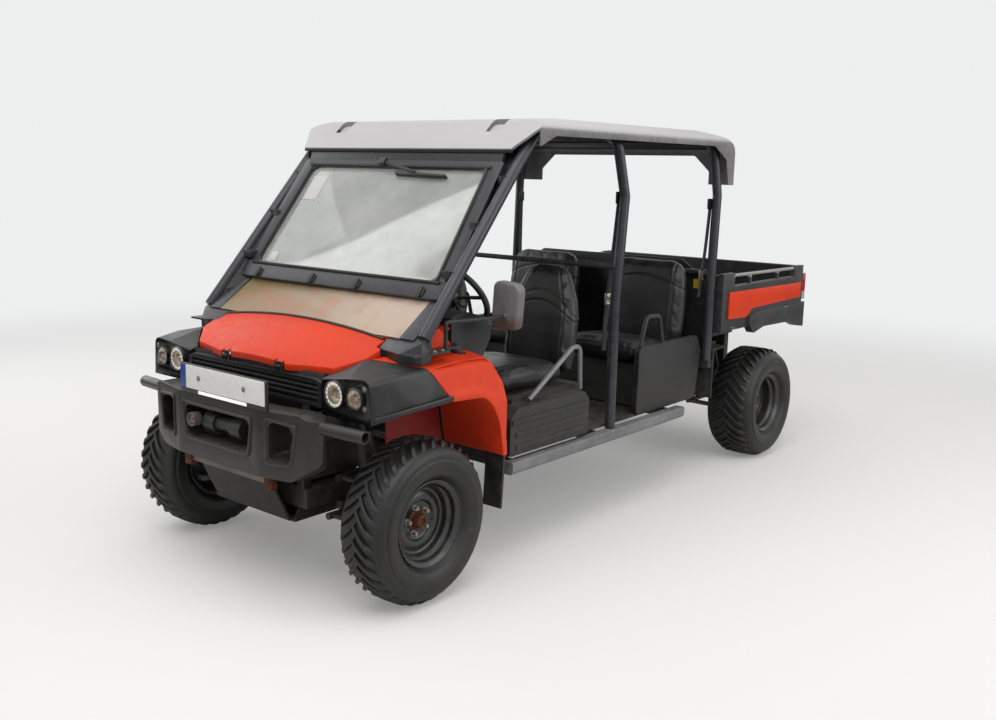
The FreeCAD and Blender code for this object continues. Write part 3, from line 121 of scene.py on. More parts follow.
class Finish:
    """A material on one Principled surface, with a method that adds any node."""

    def __init__(self, name, **surface):
        self.material = bpy.data.materials.new(name)
        self.material.use_nodes = True
        self.tree = self.material.node_tree
        self.skin = self.tree.nodes["Principled BSDF"]
        self.spot = self.add("TexCoord", {}, {}, "Object")
        for label, item in surface.items():
            self.feed(self.skin.inputs[label.replace("_", " ")], item)

    def feed(self, socket, item):
        if isinstance(item, Value):
            self.tree.links.new(item.socket, socket)
        elif isinstance(item, tuple) and len(item) == 3 and len(socket.default_value) == 4:
            socket.default_value = (*item, 1)
        else:
            socket.default_value = item

    def add(self, kind, settings, inputs, output=0):
        node = self.tree.nodes.new("ShaderNode" + kind)
        for name, setting in settings.items():
            setattr(node, name, setting)
        for name, item in inputs.items():
            self.feed(node.inputs[name], item)
        return Value(self, node.outputs[output])

    def colour(self, item):
        self.feed(self.skin.inputs["Base Color"], item)

    def rough(self, item):
        self.feed(self.skin.inputs["Roughness"], item)

    def fed(self, label):
        """What an input of the surface gets so far."""
        return Value(self, self.skin.inputs[label].links[0].from_socket)

    def cover(self, colour, share):
        """Lay a colour over what the surface shows so far, as much as the share says."""
        self.colour(self.mix(self.fed("Base Color"), colour, share))

    def mix(self, first, second, share):
        node = self.tree.nodes.new("ShaderNodeMix")
        node.data_type = "RGBA"
        for place, item in ((0, share), (6, first), (7, second)):
            self.feed(node.inputs[place], item)
        return Value(self, node.outputs[2])

    def noise(self, scale, detail=4.0, rough=0.55, stretch=(1, 1, 1), shift=(0, 0, 0)):
        spot = self.add("Mapping", {}, {"Vector": self.spot, "Scale": stretch, "Location": shift})
        return self.add("TexNoise", {},
                        {"Vector": spot, "Scale": scale, "Detail": detail, "Roughness": rough})

    def cells(self, scale, feature="F1"):
        return self.add("TexVoronoi", {"feature": feature}, {"Vector": self.spot, "Scale": scale})

    def part(self, vector, letter):
        return self.add("SeparateXYZ", {}, {"Vector": vector}, letter)

    def at(self, letter):
        """A coordinate of the point that is shaded; y is measured from the front axle."""
        place = self.part(self.spot, letter)
        return place - FRONT_AXLE.y if letter == "Y" else place

    def normal(self, letter="Z"):
        return self.part(self.add("NewGeometry", {}, {}, "Normal"), letter)

    def emboss(self, height, strength, distance):
        self.feed(self.skin.inputs["Normal"],
                  self.add("Bump", {}, {"Height": height, "Strength": strength, "Distance": distance}))
        return self


# The studio: a pale floor that keeps the vehicle's shadow, a pale world that glass and metal mirror,
# and soft lamps, a broad one overhead as the sky was and a weaker one on each side.
bpy.context.scene.view_settings.view_transform = "Standard"
world = bpy.data.worlds.new("studio")
bpy.context.scene.world = world
world.use_nodes = True
studio = Finish.__new__(Finish)
studio.tree = world.node_tree
pale = studio.add("LightPath", {}, {}, "Is Camera Ray")
for kind in ("Is Glossy Ray", "Is Transmission Ray"):
    pale = pale.most(studio.add("LightPath", {}, {}, kind))
backdrop = world.node_tree.nodes["Background"]
PALE = (0.93, 0.935, 0.94)
studio.feed(backdrop.inputs["Color"], PALE)
studio.feed(backdrop.inputs["Strength"], pale * 0.42 + 0.50)

FLOOR_HALF = 40
FLOOR_CORNERS = [(-FLOOR_HALF, -FLOOR_HALF, 0), (FLOOR_HALF, -FLOOR_HALF, 0),
                 (FLOOR_HALF, FLOOR_HALF, 0), (-FLOOR_HALF, FLOOR_HALF, 0)]
floor_mesh = bpy.data.meshes.new("studio_floor")
floor_mesh.from_pydata(FLOOR_CORNERS, [], [(0, 1, 2, 3)])
floor = in_scene("studio_floor", floor_mesh)
floor_finish = Finish("studio_floor", Roughness=0.9, Specular_IOR_Level=0.0)
far_off = floor_finish.add("VectorMath", {"operation": "LENGTH"}, {0: floor_finish.spot}, 1).above(2.9, 8.5)
seen_floor = floor_finish.add("LightPath", {}, {}, "Is Camera Ray")
floor_finish.colour(floor_finish.mix((0.80, 0.79, 0.77), (0, 0, 0), far_off))
floor_finish.feed(floor_finish.skin.inputs["Emission Color"],
                  floor_finish.mix((0.20, 0.20, 0.20), PALE, far_off))
floor_finish.feed(floor_finish.skin.inputs["Emission Strength"], seen_floor * 0.92)
floor_mesh.materials.append(floor_finish.material)
LAMP_TARGET = Vector((0, 0, 0.8))
LAMPS = [
    # name, place, size, power, tint
    ("lamp_sky", (1.0, -2.5, 5.2), 5.0, 150, (1.0, 0.99, 0.97)),
    ("lamp_left", (5.2, 1.2, 2.6), 3.5, 70, (1.0, 1.0, 1.0)),
    ("lamp_right", (-4.8, -1.0, 3.0), 3.5, 45, (0.96, 0.98, 1.0)),
]
for name, place, size, power, tint in LAMPS:
    lamp = bpy.data.lights.new(name, "AREA")
    lamp.size = size
    lamp.energy = power
    lamp.color = tint
    stand = in_scene(name, lamp)
    stand.location = place
    stand.rotation_euler = (LAMP_TARGET - Vector(place)).to_track_quat("-Z", "Y").to_euler()

# Finishes that several pieces share: each is a base colour with broad patches, a fine grain, road dust that
# lies thickest low down, a paler film on what faces up that is partly dust and partly a painted sheen of
# light from above, and on some thin scratches where a part gets rubbed.
DUST = (0.27, 0.245, 0.21)


def weathered(name, colour, rough, patch=0.18, grain=700, relief=0.10, dust=0.35, scratches=0.0, chalk=None,
              metal=0.0, coat=0.0):
    """A used surface; chalk is the colour that age and sun have left in patches."""
    finish = Finish(name, Metallic=metal, Coat_Weight=coat, Coat_Roughness=0.25)
    broad = finish.noise(3.1, 5, 0.6)
    mottle = finish.noise(23, 6, 0.65)
    fine = finish.noise(grain, 2)
    dark = tuple(c * (1 - patch) for c in colour)
    bright = tuple(min(1.0, c * (1 + patch)) for c in colour)
    shade = finish.mix(dark, bright, (broad * 0.6 + mottle * 0.4).above(0.35, 0.65))
    if chalk:
        shade = finish.mix(shade, chalk, (mottle * 0.5 + broad * 0.5).above(0.46, 0.68) * 0.55)
    if scratches:
        marks = finish.noise(46, 3, 0.7, (1, 0.06, 0.35)).above(0.66, 0.70).most(
            finish.noise(60, 3, 0.7, (0.3, 0.9, 0.05), (3, 1, 7)).above(0.68, 0.72))
        shade = finish.mix(shade, (0.42, 0.40, 0.38), marks * scratches)
    low = 1 - finish.at("Z").above(0.05, 0.95)
    # What faces up gets a paler film: partly dust, partly a painted sheen of the light from above.
    facing_dust_and_sheen = finish.normal().above(0.3, 0.95)
    film = (low * 0.75 + facing_dust_and_sheen * 0.50) * (broad * 0.5 + mottle * 0.7).above(0.34, 0.80)
    finish.colour(finish.mix(shade, DUST, film * dust))
    finish.rough(film * 0.35 + (mottle - 0.5) * 0.22 + rough)
    return finish.emboss(fine * 0.7 + mottle * 0.3, relief, 0.001)


def red_plastic(name):
    """The red of the body mouldings, a little shiny."""
    finish = weathered(name, (0.78, 0.046, 0.006), 0.44, patch=0.07, grain=350, relief=0.03, dust=0.05,
                       coat=0.04)
    finish.feed(finish.skin.inputs["Specular IOR Level"], 0.32)
    return finish


def two_tone(name, first, second, grain, limits=None, **surface):
    """Two colours mixed by a noise, whose scale and detail are in grain; limits sharpen their border."""
    finish = Finish(name, **surface)
    share = finish.noise(*grain)
    finish.colour(finish.mix(first, second, share.above(*limits) if limits else share))
    return finish


frame_black = weathered("frame_black", (0.012, 0.012, 0.013), 0.40, dust=0.30, scratches=0.18)
cage_grey = weathered("cage_grey", (0.034, 0.034, 0.040), 0.30, dust=0.14, scratches=0.14)
bumper_black = weathered("bumper_black", (0.015, 0.0135, 0.011), 0.36, grain=1300, relief=0.2, dust=0.14,
                         coat=0.15)
belly_black = weathered("belly_black", (0.008, 0.008, 0.008), 0.55, dust=0.12)
moulded_black = weathered("moulded_black", (0.013, 0.013, 0.014), 0.38, grain=1300, relief=0.20, dust=0.20,
                          chalk=(0.034, 0.034, 0.037))
red_moulding = red_plastic("red_moulding")
bare_steel = weathered("bare_steel", (0.17, 0.15, 0.135), 0.45, metal=0.8, dust=0.45, patch=0.35)
cast_grey = weathered("cast_grey", (0.11, 0.11, 0.115), 0.6, metal=0.3, dust=0.5)
roof_plastic = weathered("roof_plastic", (0.200, 0.192, 0.200), 0.42, grain=900, relief=0.12, dust=0.20,
                         chalk=(0.29, 0.28, 0.29))
seat_moulding = weathered("seat_moulding", (0.014, 0.014, 0.015), 0.50, grain=1500, relief=0.30, dust=0.32)
rail_grey = weathered("rail_grey", (0.23, 0.225, 0.235), 0.38, scratches=0.4, dust=0.25, metal=0.3)
sill_grey = weathered("sill_grey", (0.20, 0.205, 0.22), 0.45, dust=0.45, scratches=0.6, patch=0.3)

# Helpers for forms. Each gives a BMesh or a plain mesh, and settle makes a piece of either.


def plain(form):
    """A BMesh as a plain mesh; a plain mesh stays as it is."""
    if isinstance(form, bpy.types.Mesh):
        return form
    data = bpy.data.meshes.new("plain")
    form.to_mesh(data)
    form.free()
    return data


def settle(name, form, finish, slot, *nodes, body="chassis", sharp=35, moved=True):
    """Make a finished form one piece: smooth but for its sharp edges, in place and on its body."""
    mesh = plain(form)
    mesh.name = name
    if moved:
        mesh.transform(Matrix.Translation(FRONT_AXLE))
    mesh.shade_smooth()
    mesh.set_sharp_from_angle(angle=math.radians(sharp))
    mesh.materials.clear()
    mesh.materials.append(finish.material)
    made = in_scene(name, mesh)
    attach(made, body)
    if nodes:
        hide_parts(*nodes)
    return made


def mirrored(mesh):
    """A copy of a mesh on the other side of the vehicle."""
    copy = mesh.copy()
    copy.transform(Matrix.Scale(-1, 4, (1, 0, 0)))
    copy.flip_normals()
    return copy


def settle_both(name, form, finish, slot, *nodes, **more):
    """Two pieces: the form, which is the left one, and its mirror image."""
    left = plain(form)
    return [settle(name + side, mesh, finish, slot, *nodes, **more)
            for side, mesh in (("_left", left), ("_right", mirrored(left)))]


def joined(*forms):
    """Several forms as one."""
    whole = bmesh.new()
    for form in forms:
        whole.from_mesh(plain(form))
    return plain(whole)


def both(form):
    """A form of the left side and its mirror image as one."""
    left = plain(form)
    return joined(left, mirrored(left))


def placed(form, matrix):
    mesh = plain(form)
    mesh.transform(matrix)
    return mesh


def evaluated(made):
    """The mesh that an object's modifiers make."""
    view = bpy.context.evaluated_depsgraph_get()
    return bpy.data.meshes.new_from_object(made.evaluated_get(view))


def faces_out(mesh):
    bmesh.ops.remove_doubles(mesh, verts=mesh.verts, dist=0.00001)
    bmesh.ops.recalc_face_normals(mesh, faces=mesh.faces)
    return mesh


def soften(mesh, width, angle=32, segments=2):
    """Round every edge that is sharper than the angle."""
    edges = [e for e in mesh.edges if len(e.link_faces) == 2 and e.calc_face_angle(0) > math.radians(angle)]
    bmesh.ops.bevel(mesh, geom=edges, offset=width, offset_type="OFFSET", segments=segments, profile=0.6,
                    affect="EDGES", clamp_overlap=True)
    return mesh


def faces_between(mesh, rows, closed=True):
    """Faces between each row of corners and the next; closed joins the rows' ends too."""
    for here, ahead in zip(rows, rows[1:]):
        count = len(here)
        for i in range(count if closed else count - 1):
            j = (i + 1) % count
            mesh.faces.new((here[i], here[j], ahead[j], ahead[i]))


def faces_across(mesh, row):
    """Close a row of corners that runs out and back, with faces across it."""
    for i in range(len(row) // 2 - 1):
        mesh.faces.new((row[i], row[i + 1], row[-2 - i], row[-1 - i]))


def lathe(profile, turns, closed=True, centre=(0, 0, 0)):
    """Turn a profile of (x, radius) about the line along X through the centre."""
    form = bmesh.new()
    rings = []
    for i in range(turns):
        angle = 2 * math.pi * i / turns
        rings.append([form.verts.new((centre[0] + x, centre[1] - r * math.cos(angle),
                                      centre[2] + r * math.sin(angle))) for x, r in profile])
    faces_between(form, rings + rings[:1], closed)
    return faces_out(form)


def smooth_line(points, steps):
    """A soft line through the points, as many steps between two of them."""
    points = [Vector(p) for p in points]
    ends = [2 * points[0] - points[1], *points, 2 * points[-1] - points[-2]]
    line = []
    for before, here, ahead, after in zip(ends, ends[1:], ends[2:], ends[3:]):
        for i in range(steps):
            t = i / steps
            line.append(0.5 * ((2 * here) + (ahead - before) * t
                               + (2 * before - 5 * here + 4 * ahead - after) * t * t
                               + (3 * here - before - 3 * ahead + after) * t ** 3))
    return line + [points[-1]]


def block(centre, size, round_off):
    """A block with soft edges."""
    form = bmesh.new()
    bmesh.ops.create_cube(form, size=1.0)
    matrix = Matrix.Translation(centre) @ Matrix.Diagonal((*size, 1))
    bmesh.ops.transform(form, matrix=matrix, verts=form.verts)
    return soften(form, round_off)


def slab(x0, x1, y0, y1, z0, z1, round_off):
    """A block given by its six sides."""
    return block(((x0 + x1) / 2, (y0 + y1) / 2, (z0 + z1) / 2), (x1 - x0, y1 - y0, z1 - z0), round_off)


def carried_over(node, width):
    """A copy of a CAD node with its flat faces whole and its edges rounded."""
    copy = bmesh.new()
    copy.from_mesh(frame["nodes"][node].data)
    bmesh.ops.remove_doubles(copy, verts=copy.verts, dist=0.00002)
    bmesh.ops.dissolve_limit(copy, angle_limit=math.radians(1.0), verts=copy.verts, edges=copy.edges)
    return soften(copy, width)


slot_of = {row["node"]: row["material_slot"] for row in frame["record"]["subparts"]}
body_of = {node: body for body, nodes in frame["record"]["behaviour"]["bodies"].items() for node in nodes}


def dress(node, finish, width):
    """Show a CAD node in its own form, with rounded edges and a finish."""
    settle(node + "_skin", carried_over(node, width), finish, slot_of[node], node, body=body_of[node],
           moved=False)


# Pieces whose CAD form is the finished one. The roof's top is made paler, painted light from above; its
# underside and the low inner faces of its rims are black as painted shade, and a band along its lower front
# rim is black as well; the hood's hinge lugs are black.
SHARED_NODES = [
    # finish, width of the rounded edges, nodes
    (frame_black, 0.0025, "frame_rails frame_cross_members front_tower rear_subframe"),
    (sill_grey, 0.002, "side_sills"),
    (frame_black, 0.001, "front_wishbones spring_struts"),
    (bare_steel, 0.001, "rear_axle steering_rack"),
    (bare_steel, 0.002, "knuckle_left knuckle_right"),
    (cast_grey, 0.004, "engine"),
    (belly_black, 0.001, "skid_plate"),
    (bumper_black, 0.006, "front_bumper"),
    (frame_black, 0.002, "winch"),
    (moulded_black, 0.001, "grille"),
    (red_moulding, 0.002, "cowl"),
    (moulded_black, 0.002, "mudguards"),
    (cage_grey, 0.003, "windscreen_frame"),
    (frame_black, 0.001, "wiper"),
    (cage_grey, 0.002, "cage_front cage_middle cage_rear"),
    (roof_plastic, 0.003, "roof"),
    (seat_moulding, 0.003, "cabin_floor"),
    (moulded_black, 0.006, "dash"),
    (moulded_black, 0.003, "steering_wheel"),
    (seat_moulding, 0.006, "seat_bases"),
    (rail_grey, 0.001, "front_hip_rails"),
    (moulded_black, 0.004, "rear_panels"),
    (red_moulding, 0.003, "bed_side_panels"),
    (moulded_black, 0.004, "tailgate"),
]
# Painted light: the roof's upward faces are lightened as light from above would lighten them.
roof_top_painted_light = roof_plastic.normal().above(0.10, 0.70)
roof_plastic.cover((0.66, 0.64, 0.65), roof_top_painted_light * 0.75)
roof_in = (roof_plastic.normal("X") * roof_plastic.at("X") * -1.0).above(0.10, 0.12)
roof_z = roof_plastic.at("Z")
front_rim = (1 - roof_z.above(1.707, 1.708)) * (1 - roof_plastic.at("Y").above(0.575, 0.580))
# Painted shade: the underside and the low inner faces of the rims are blackened; a band along the lower front
# rim is blackened too.
underside = 1 - (roof_plastic.normal() + 1.0).above(0.55, 0.60)
roof_painted_shade_and_front_band = (roof_in * (1 - roof_z.above(1.795, 1.800))).most(underside).most(front_rim)
roof_plastic.cover((0.020, 0.020, 0.022), roof_painted_shade_and_front_band)
for finish, width, nodes in SHARED_NODES:
    for node in nodes.split():
        dress(node, finish, width)

LUG_X, LUG_FRONT = 0.166, -0.2435
hood_red = red_plastic("hood_red")
lugs = ((1 - hood_red.at("Y").above(LUG_FRONT - 0.0005, LUG_FRONT + 0.0005))
        * (1 - (hood_red.at("X").abs() - LUG_X).abs().above(0.030, 0.031)))
hood_red.cover((0.012, 0.012, 0.013), lugs)
dress("hood", hood_red, 0.002)

# Windscreen: clear glass with a film of dirt, and a hazy panel that has yellowed and reddened in patches.
clear = Finish("screen_glass", IOR=1.55, Transmission_Weight=0.70)
film = clear.noise(2.5, 5, 0.6, (1, 2, 2)) * 0.6 + clear.noise(17, 5, 0.6, (1, 0.4, 1)) * 0.4
clear.colour(clear.mix((0.80, 0.83, 0.78), (0.95, 0.96, 0.93), film.above(0.35, 0.65)))
clear.rough(film * 0.10)
dress("windscreen_glass", clear, 0.001)
hazy = Finish("hazy_panel", IOR=1.3, Transmission_Weight=0.45)
haze = hazy.noise(2.2, 5, 0.6, (1, 2, 2)) * 0.65 + hazy.noise(14, 5, 0.6, (1, 0.3, 1)) * 0.35
panel_tint = hazy.mix((0.42, 0.33, 0.16), (0.86, 0.72, 0.60), hazy.at("X").above(-0.45, 0.40))
hazy.colour(hazy.mix(panel_tint, (0.72, 0.30, 0.18), haze.above(0.46, 0.66) * 0.75))
hazy.rough(haze * 0.35 + 0.15)
dress("lower_screen", hazy, 0.001)

# Front fenders: red mouldings whose side is one smooth sheet with a rounded lip along the wheel opening; it
# is laid over the CAD side, which is squeezed in under it. A liner in a darker red closes the wheel house
# towards the cab; its darker red is painted shade of the red moulding inside the wheel house. A black apron
# stands beside each frame rail.
SIDE_X = 0.7390
SIDE_TURN = 0.720
FENDER_STATIONS = [
    # y, z on the opening's edge, then on the ridge and the rear edge
    ((0.126, 0.767), (0.018, 0.897)), ((0.165, 0.767), (0.110, 0.900)), ((0.210, 0.766), (0.200, 0.901)),
    ((0.255, 0.763), (0.285, 0.899)), ((0.290, 0.756), (0.350, 0.890)), ((0.320, 0.741), (0.393, 0.870)),
    ((0.343, 0.717), (0.420, 0.838)), ((0.362, 0.687), (0.4335, 0.796)), ((0.380, 0.655), (0.4372, 0.745)),
    ((0.393, 0.610), (0.4380, 0.680)), ((0.403, 0.560), (0.4380, 0.600)), ((0.413, 0.500), (0.4380, 0.500)),
]
FENDER_ACROSS = 18


def smooth_step(value, low, high):
    t = min(1.0, max(0.0, (value - low) / (high - low)))
    return t * t * (3 - 2 * t)


def fender_side(y, z):
    """How far out the fender's side lies; it leans in above the wheel, more so at its rear."""
    over = max(0.0, z - SIDE_TURN)
    top = 0.882 - 0.085 * smooth_step(y, 0.37, 0.436)
    return SIDE_X - (0.19 + 0.13 * smooth_step(y, 0.36, 0.42)) * over - 34 * max(0.0, z - top) ** 2


CAD_SIDE = 0.726
SQUEEZE = 0.35
LINE_STEPS = 6
fenders = carried_over("front_fenders", 0.001)
for vertex in fenders.verts:
    out = abs(vertex.co.x)
    if out > CAD_SIDE:
        out = CAD_SIDE + (out - CAD_SIDE) * SQUEEZE
    y, z = vertex.co.y - FRONT_AXLE.y, vertex.co.z
    if out > 0.70 and z > 0.78 and y > 0.05:
        out = min(out, fender_side(y, z) - 0.0020 - (0.7325 - out) * 0.5)
    vertex.co.x = math.copysign(out, vertex.co.x)
settle("front_fenders_skin", fenders, red_moulding, slot_of["front_fenders"], "front_fenders", moved=False)
opening = smooth_line([(0, *p) for p, q in FENDER_STATIONS], LINE_STEPS)
border = smooth_line([(0, *q) for p, q in FENDER_STATIONS], LINE_STEPS)
sheet = bmesh.new()
sheet_rows = []
for edge, far in zip(opening, border):
    outer, inner = [], []
    for i in range(FENDER_ACROSS + 1):
        spot = edge.lerp(far, i / FENDER_ACROSS)
        from_edge = (spot - edge).length
        to_far = (far - spot).length
        lip = (0.0052 * (1 - smooth_step(from_edge, 0.024, 0.042))
               - 0.0025 * math.exp(-(from_edge / 0.004) ** 2))
        x = fender_side(spot.y, spot.z) + lip - 0.0045 * math.exp(-(to_far / 0.005) ** 2)
        thick = (0.0014 + 0.010 * math.exp(-(from_edge / 0.010) ** 2)
                 + 0.004 * math.exp(-(to_far / 0.006) ** 2))
        outer.append(sheet.verts.new((x, spot.y, spot.z)))
        inner.append(sheet.verts.new((x - thick, spot.y, spot.z)))
    sheet_rows.append(outer + inner[::-1])
faces_between(sheet, sheet_rows)
faces_across(sheet, sheet_rows[0])
faces_across(sheet, sheet_rows[-1])
settle_both("fender_side", faces_out(sheet), red_moulding, "red_body", sharp=50)
# Painted shade: the liner is a darker copy of the body's red, as that red looks in the wheel house's shade.
shaded_liner_red = weathered("shaded_liner_red", (0.33, 0.012, 0.006), 0.5, dust=0.35, patch=0.2)
LINER_WALL = [(0.075, 0.50), (0.405, 0.50), (0.380, 0.648), (0.312, 0.752), (0.075, 0.752)]
LINER_X = (0.411, 0.415)
wall = bmesh.new()
wall_rows = [[wall.verts.new((x, y, z)) for y, z in LINER_WALL] for x in LINER_X]
for row in wall_rows:
    wall.faces.new(row)
faces_between(wall, wall_rows)
settle_both("wheel_house", faces_out(wall), shaded_liner_red, "red_body")
apron = slab(0.297, 0.300, -0.225, 0.110, 0.445, 0.705, 0.001)
settle_both("apron", apron, frame_black, "frame_black")

# Lamp fairings: black mouldings whose front face, round the lamps, is glossy.
FACE_Y = -0.247
fairing_black = weathered("fairing_black", (0.013, 0.013, 0.014), 0.36, grain=1300, relief=0.18, dust=0.16,
                          chalk=(0.040, 0.040, 0.044))
lamp_face = 1 - fairing_black.at("Y").above(FACE_Y - 0.0005, FACE_Y + 0.0005)
fairing_black.cover((0.006, 0.006, 0.007), lamp_face)
fairing_black.rough(fairing_black.fed("Roughness") * (1 - lamp_face * 0.6))
dress("lamp_fairings", fairing_black, 0.003)

# Tyres: low-pressure off-road tyres with a rounded carcass, smooth bulging side walls and curved tread bars
# that meet in a V at the middle and run down over the shoulders. The bars are one shape set in a ring.
rubber = Finish("tread_rubber", IOR=1.5)
rubber_broad = rubber.noise(5, 5, 0.6)
rubber_fine = rubber.noise(420, 3)
rubber_skin = rubber.mix((0.007, 0.007, 0.007), (0.019, 0.0185, 0.018), rubber_broad.above(0.3, 0.7))
rubber_mud = rubber.noise(28, 6, 0.7).above(0.50, 0.72) * (1 - rubber.at("Z").above(0.05, 0.75))
rubber.colour(rubber.mix(rubber_skin, (0.075, 0.063, 0.050), rubber_mud * 0.40))
rubber.rough(rubber_broad * 0.22 + rubber_mud * 0.2 + 0.33)
rubber.emboss(rubber_fine * 0.5 + rubber.noise(60, 4) * 0.5, 0.25, 0.0015)
TYRE_RADIUS = 0.3175
TREAD_DEPTH = 0.011
TREAD_BARS = 36
TREAD_STEPS = 8
WHEEL_EDGES, HUB_EDGES = 96, 40
# Tyre and rim profiles are rows of x and radius. Where they follow a rim's or a tyre's edge, x counts from
# that edge.
TYRE_BEAD = [(0, 0.1525), (0.003, 0.160), (0.004, 0.170), (0.010, 0.176)]
TYRE_WALL = [(-0.012, 0.190), (-0.004, 0.212), (0, 0.236), (-0.002, 0.250), (-0.005, 0.252), (-0.007, 0.268),
             (-0.016, 0.284), (-0.032, 0.295), (-0.060, 0.301)]
TYRES = [
    # corner, x of the middle, y, width, half the rim's width
    ("front_left", 0.650, 0.0, 0.230, 0.084),
    ("front_right", -0.650, 0.0, 0.230, 0.084),
    ("rear_left", 0.647, 2.840, 0.280, 0.106),
    ("rear_right", -0.647, 2.840, 0.280, 0.106),
]


def tread_bar(half_width):
    """One bar on the top of the tyre, from the middle line to the shoulder, about the wheel's axis."""
    bar = bmesh.new()
    rings = []
    for i in range(TREAD_STEPS + 1):
        t = i / TREAD_STEPS
        x = -0.010 + t * (half_width + 0.004)
        lag = 0.118 * t ** 0.80
        fall = 0.058 * max(0.0, (t - 0.62) / 0.38) ** 1.6
        lean = 1.0 - 0.10 * t
        wide = 0.0098 + 0.0022 * t
        crown = TYRE_RADIUS - 0.006 * t ** 2 - fall
        foot = crown - TREAD_DEPTH - 0.012
        ring = []
        for r, s in ((foot, -wide - 0.006), (crown - 0.002, -wide), (crown, -wide + 0.003),
                     (crown, wide - 0.003), (crown - 0.002, wide), (foot, wide + 0.006)):
            angle = (lag + s * lean) / TYRE_RADIUS
            ring.append(bar.verts.new((min(x, half_width - 0.003), -r * math.sin(angle),
                                       r * math.cos(angle))))
        rings.append(ring)
    faces_between(bar, rings, closed=False)
    bar.faces.new(rings[0])
    bar.faces.new(rings[-1])
    return faces_out(bar)


class Tree:
    """A Geometry Nodes tree with named inputs; add makes a node and joins what it is given."""

    def __init__(self, name, **inputs):
        self.group = bpy.data.node_groups.new(name, "GeometryNodeTree")
        self.group.interface.new_socket("Geometry", in_out="INPUT", socket_type="NodeSocketGeometry")
        self.keys = {}
        for label, (kind, start) in inputs.items():
            made = self.group.interface.new_socket(label, in_out="INPUT", socket_type="NodeSocket" + kind)
            if start is not None:
                made.default_value = start
            self.keys[label] = made.identifier
        self.group.interface.new_socket("Geometry", in_out="OUTPUT", socket_type="NodeSocketGeometry")
        self.start = self.group.nodes.new("NodeGroupInput")
        self.end = self.group.nodes.new("NodeGroupOutput")

    def given(self, label):
        return self.start.outputs[label]

    def add(self, kind, settings=None, output=0, **inputs):
        node = self.group.nodes.new(kind)
        for name, setting in (settings or {}).items():
            setattr(node, name, setting)
        for name, item in inputs.items():
            # An input called i0, i1 and so on is taken by its number.
            by_number = name[0] == "i" and name[1:].isdigit()
            place = node.inputs[int(name[1:]) if by_number else name.replace("_", " ")]
            if isinstance(item, bpy.types.NodeSocket):
                self.group.links.new(item, place)
            else:
                place.default_value = item
        return node.outputs[output]

    def close(self, geometry):
        self.group.links.new(geometry, self.end.inputs[0])
        return self

    def run(self, mesh, **values):
        """The plain mesh that the tree makes of a mesh."""
        carrier = in_scene("carrier", mesh)
        modifier = carrier.modifiers.new("tree", "NODES")
        modifier.node_group = self.group
        for label, item in values.items():
            modifier[self.keys[label]] = item
        grown = evaluated(carrier)
        bpy.data.objects.remove(carrier)
        return grown


def ring_tree():
    """Like pieces set about the X axis, joined with what carries them."""
    tree = Tree("ring_of_pieces", Piece=("Object", None), Count=("Int", 8), Phase=("Float", 0.0),
                Surface=("Material", None))
    points = tree.add("GeometryNodePoints", Count=tree.given("Count"))
    index = tree.add("GeometryNodeInputIndex")
    share = tree.add("ShaderNodeMath", {"operation": "ADD"}, i0=index, i1=tree.given("Phase"))
    turn = tree.add("ShaderNodeMath", {"operation": "MULTIPLY"}, i0=share, i1=2 * math.pi)
    angle = tree.add("ShaderNodeMath", {"operation": "DIVIDE"}, i0=turn, i1=tree.given("Count"))
    euler = tree.add("ShaderNodeCombineXYZ", X=angle)
    source = tree.add("GeometryNodeObjectInfo", output="Geometry", Object=tree.given("Piece"))
    set_out = tree.add("GeometryNodeInstanceOnPoints", Points=points, Instance=source, Rotation=euler)
    real = tree.add("GeometryNodeRealizeInstances", Geometry=set_out)
    joint = tree.group.nodes.new("GeometryNodeJoinGeometry")
    tree.group.links.new(real, joint.inputs[0])
    tree.group.links.new(tree.given("Geometry"), joint.inputs[0])
    painted = tree.add("GeometryNodeSetMaterial", Geometry=joint.outputs[0], Material=tree.given("Surface"))
    return tree.close(painted)


ring = ring_tree()


def pattern(form, name):
    """A hidden object that a tree takes a repeated piece from."""
    return bpy.data.objects.new(name, plain(form))


def set_round(piece, count, phase, finish, carrier=None):
    """Like pieces set round the X axis, joined with the mesh that carries them."""
    return ring.run(carrier or bpy.data.meshes.new("none"), Piece=pattern(piece, "piece"), Count=count,
                    Phase=phase, Surface=finish.material)


for corner, x, y, width, rim_half in TYRES:
    half = width / 2
    bead = rim_half - 0.0083
    side = [(bead + a, r) for a, r in TYRE_BEAD] + [(half + a, r) for a, r in TYRE_WALL]
    outer = [(p.x, p.y) for p in smooth_line([(*p, 0) for p in side], 3)]
    profile = outer + [(0, TYRE_RADIUS - TREAD_DEPTH)] + [(-a, r) for a, r in reversed(outer)]
    tyre = plain(lathe(profile, WHEEL_EDGES))
    right_bar = tread_bar(half)
    left_bar = right_bar.copy()
    bmesh.ops.transform(left_bar, matrix=Matrix.Scale(-1, 4, (1, 0, 0)), verts=left_bar.verts)
    bmesh.ops.reverse_faces(left_bar, faces=left_bar.faces)
    for bar, phase in ((right_bar, 0.0), (left_bar, 0.5)):
        tyre = set_round(bar, TREAD_BARS, phase, rubber, tyre)
    settle("tyre_" + corner + "_tread", placed(tyre, Matrix.Translation((x, y, TYRE_RADIUS))), rubber,
           "tyre_rubber", "tyre_" + corner, body="wheel_" + corner, sharp=30)

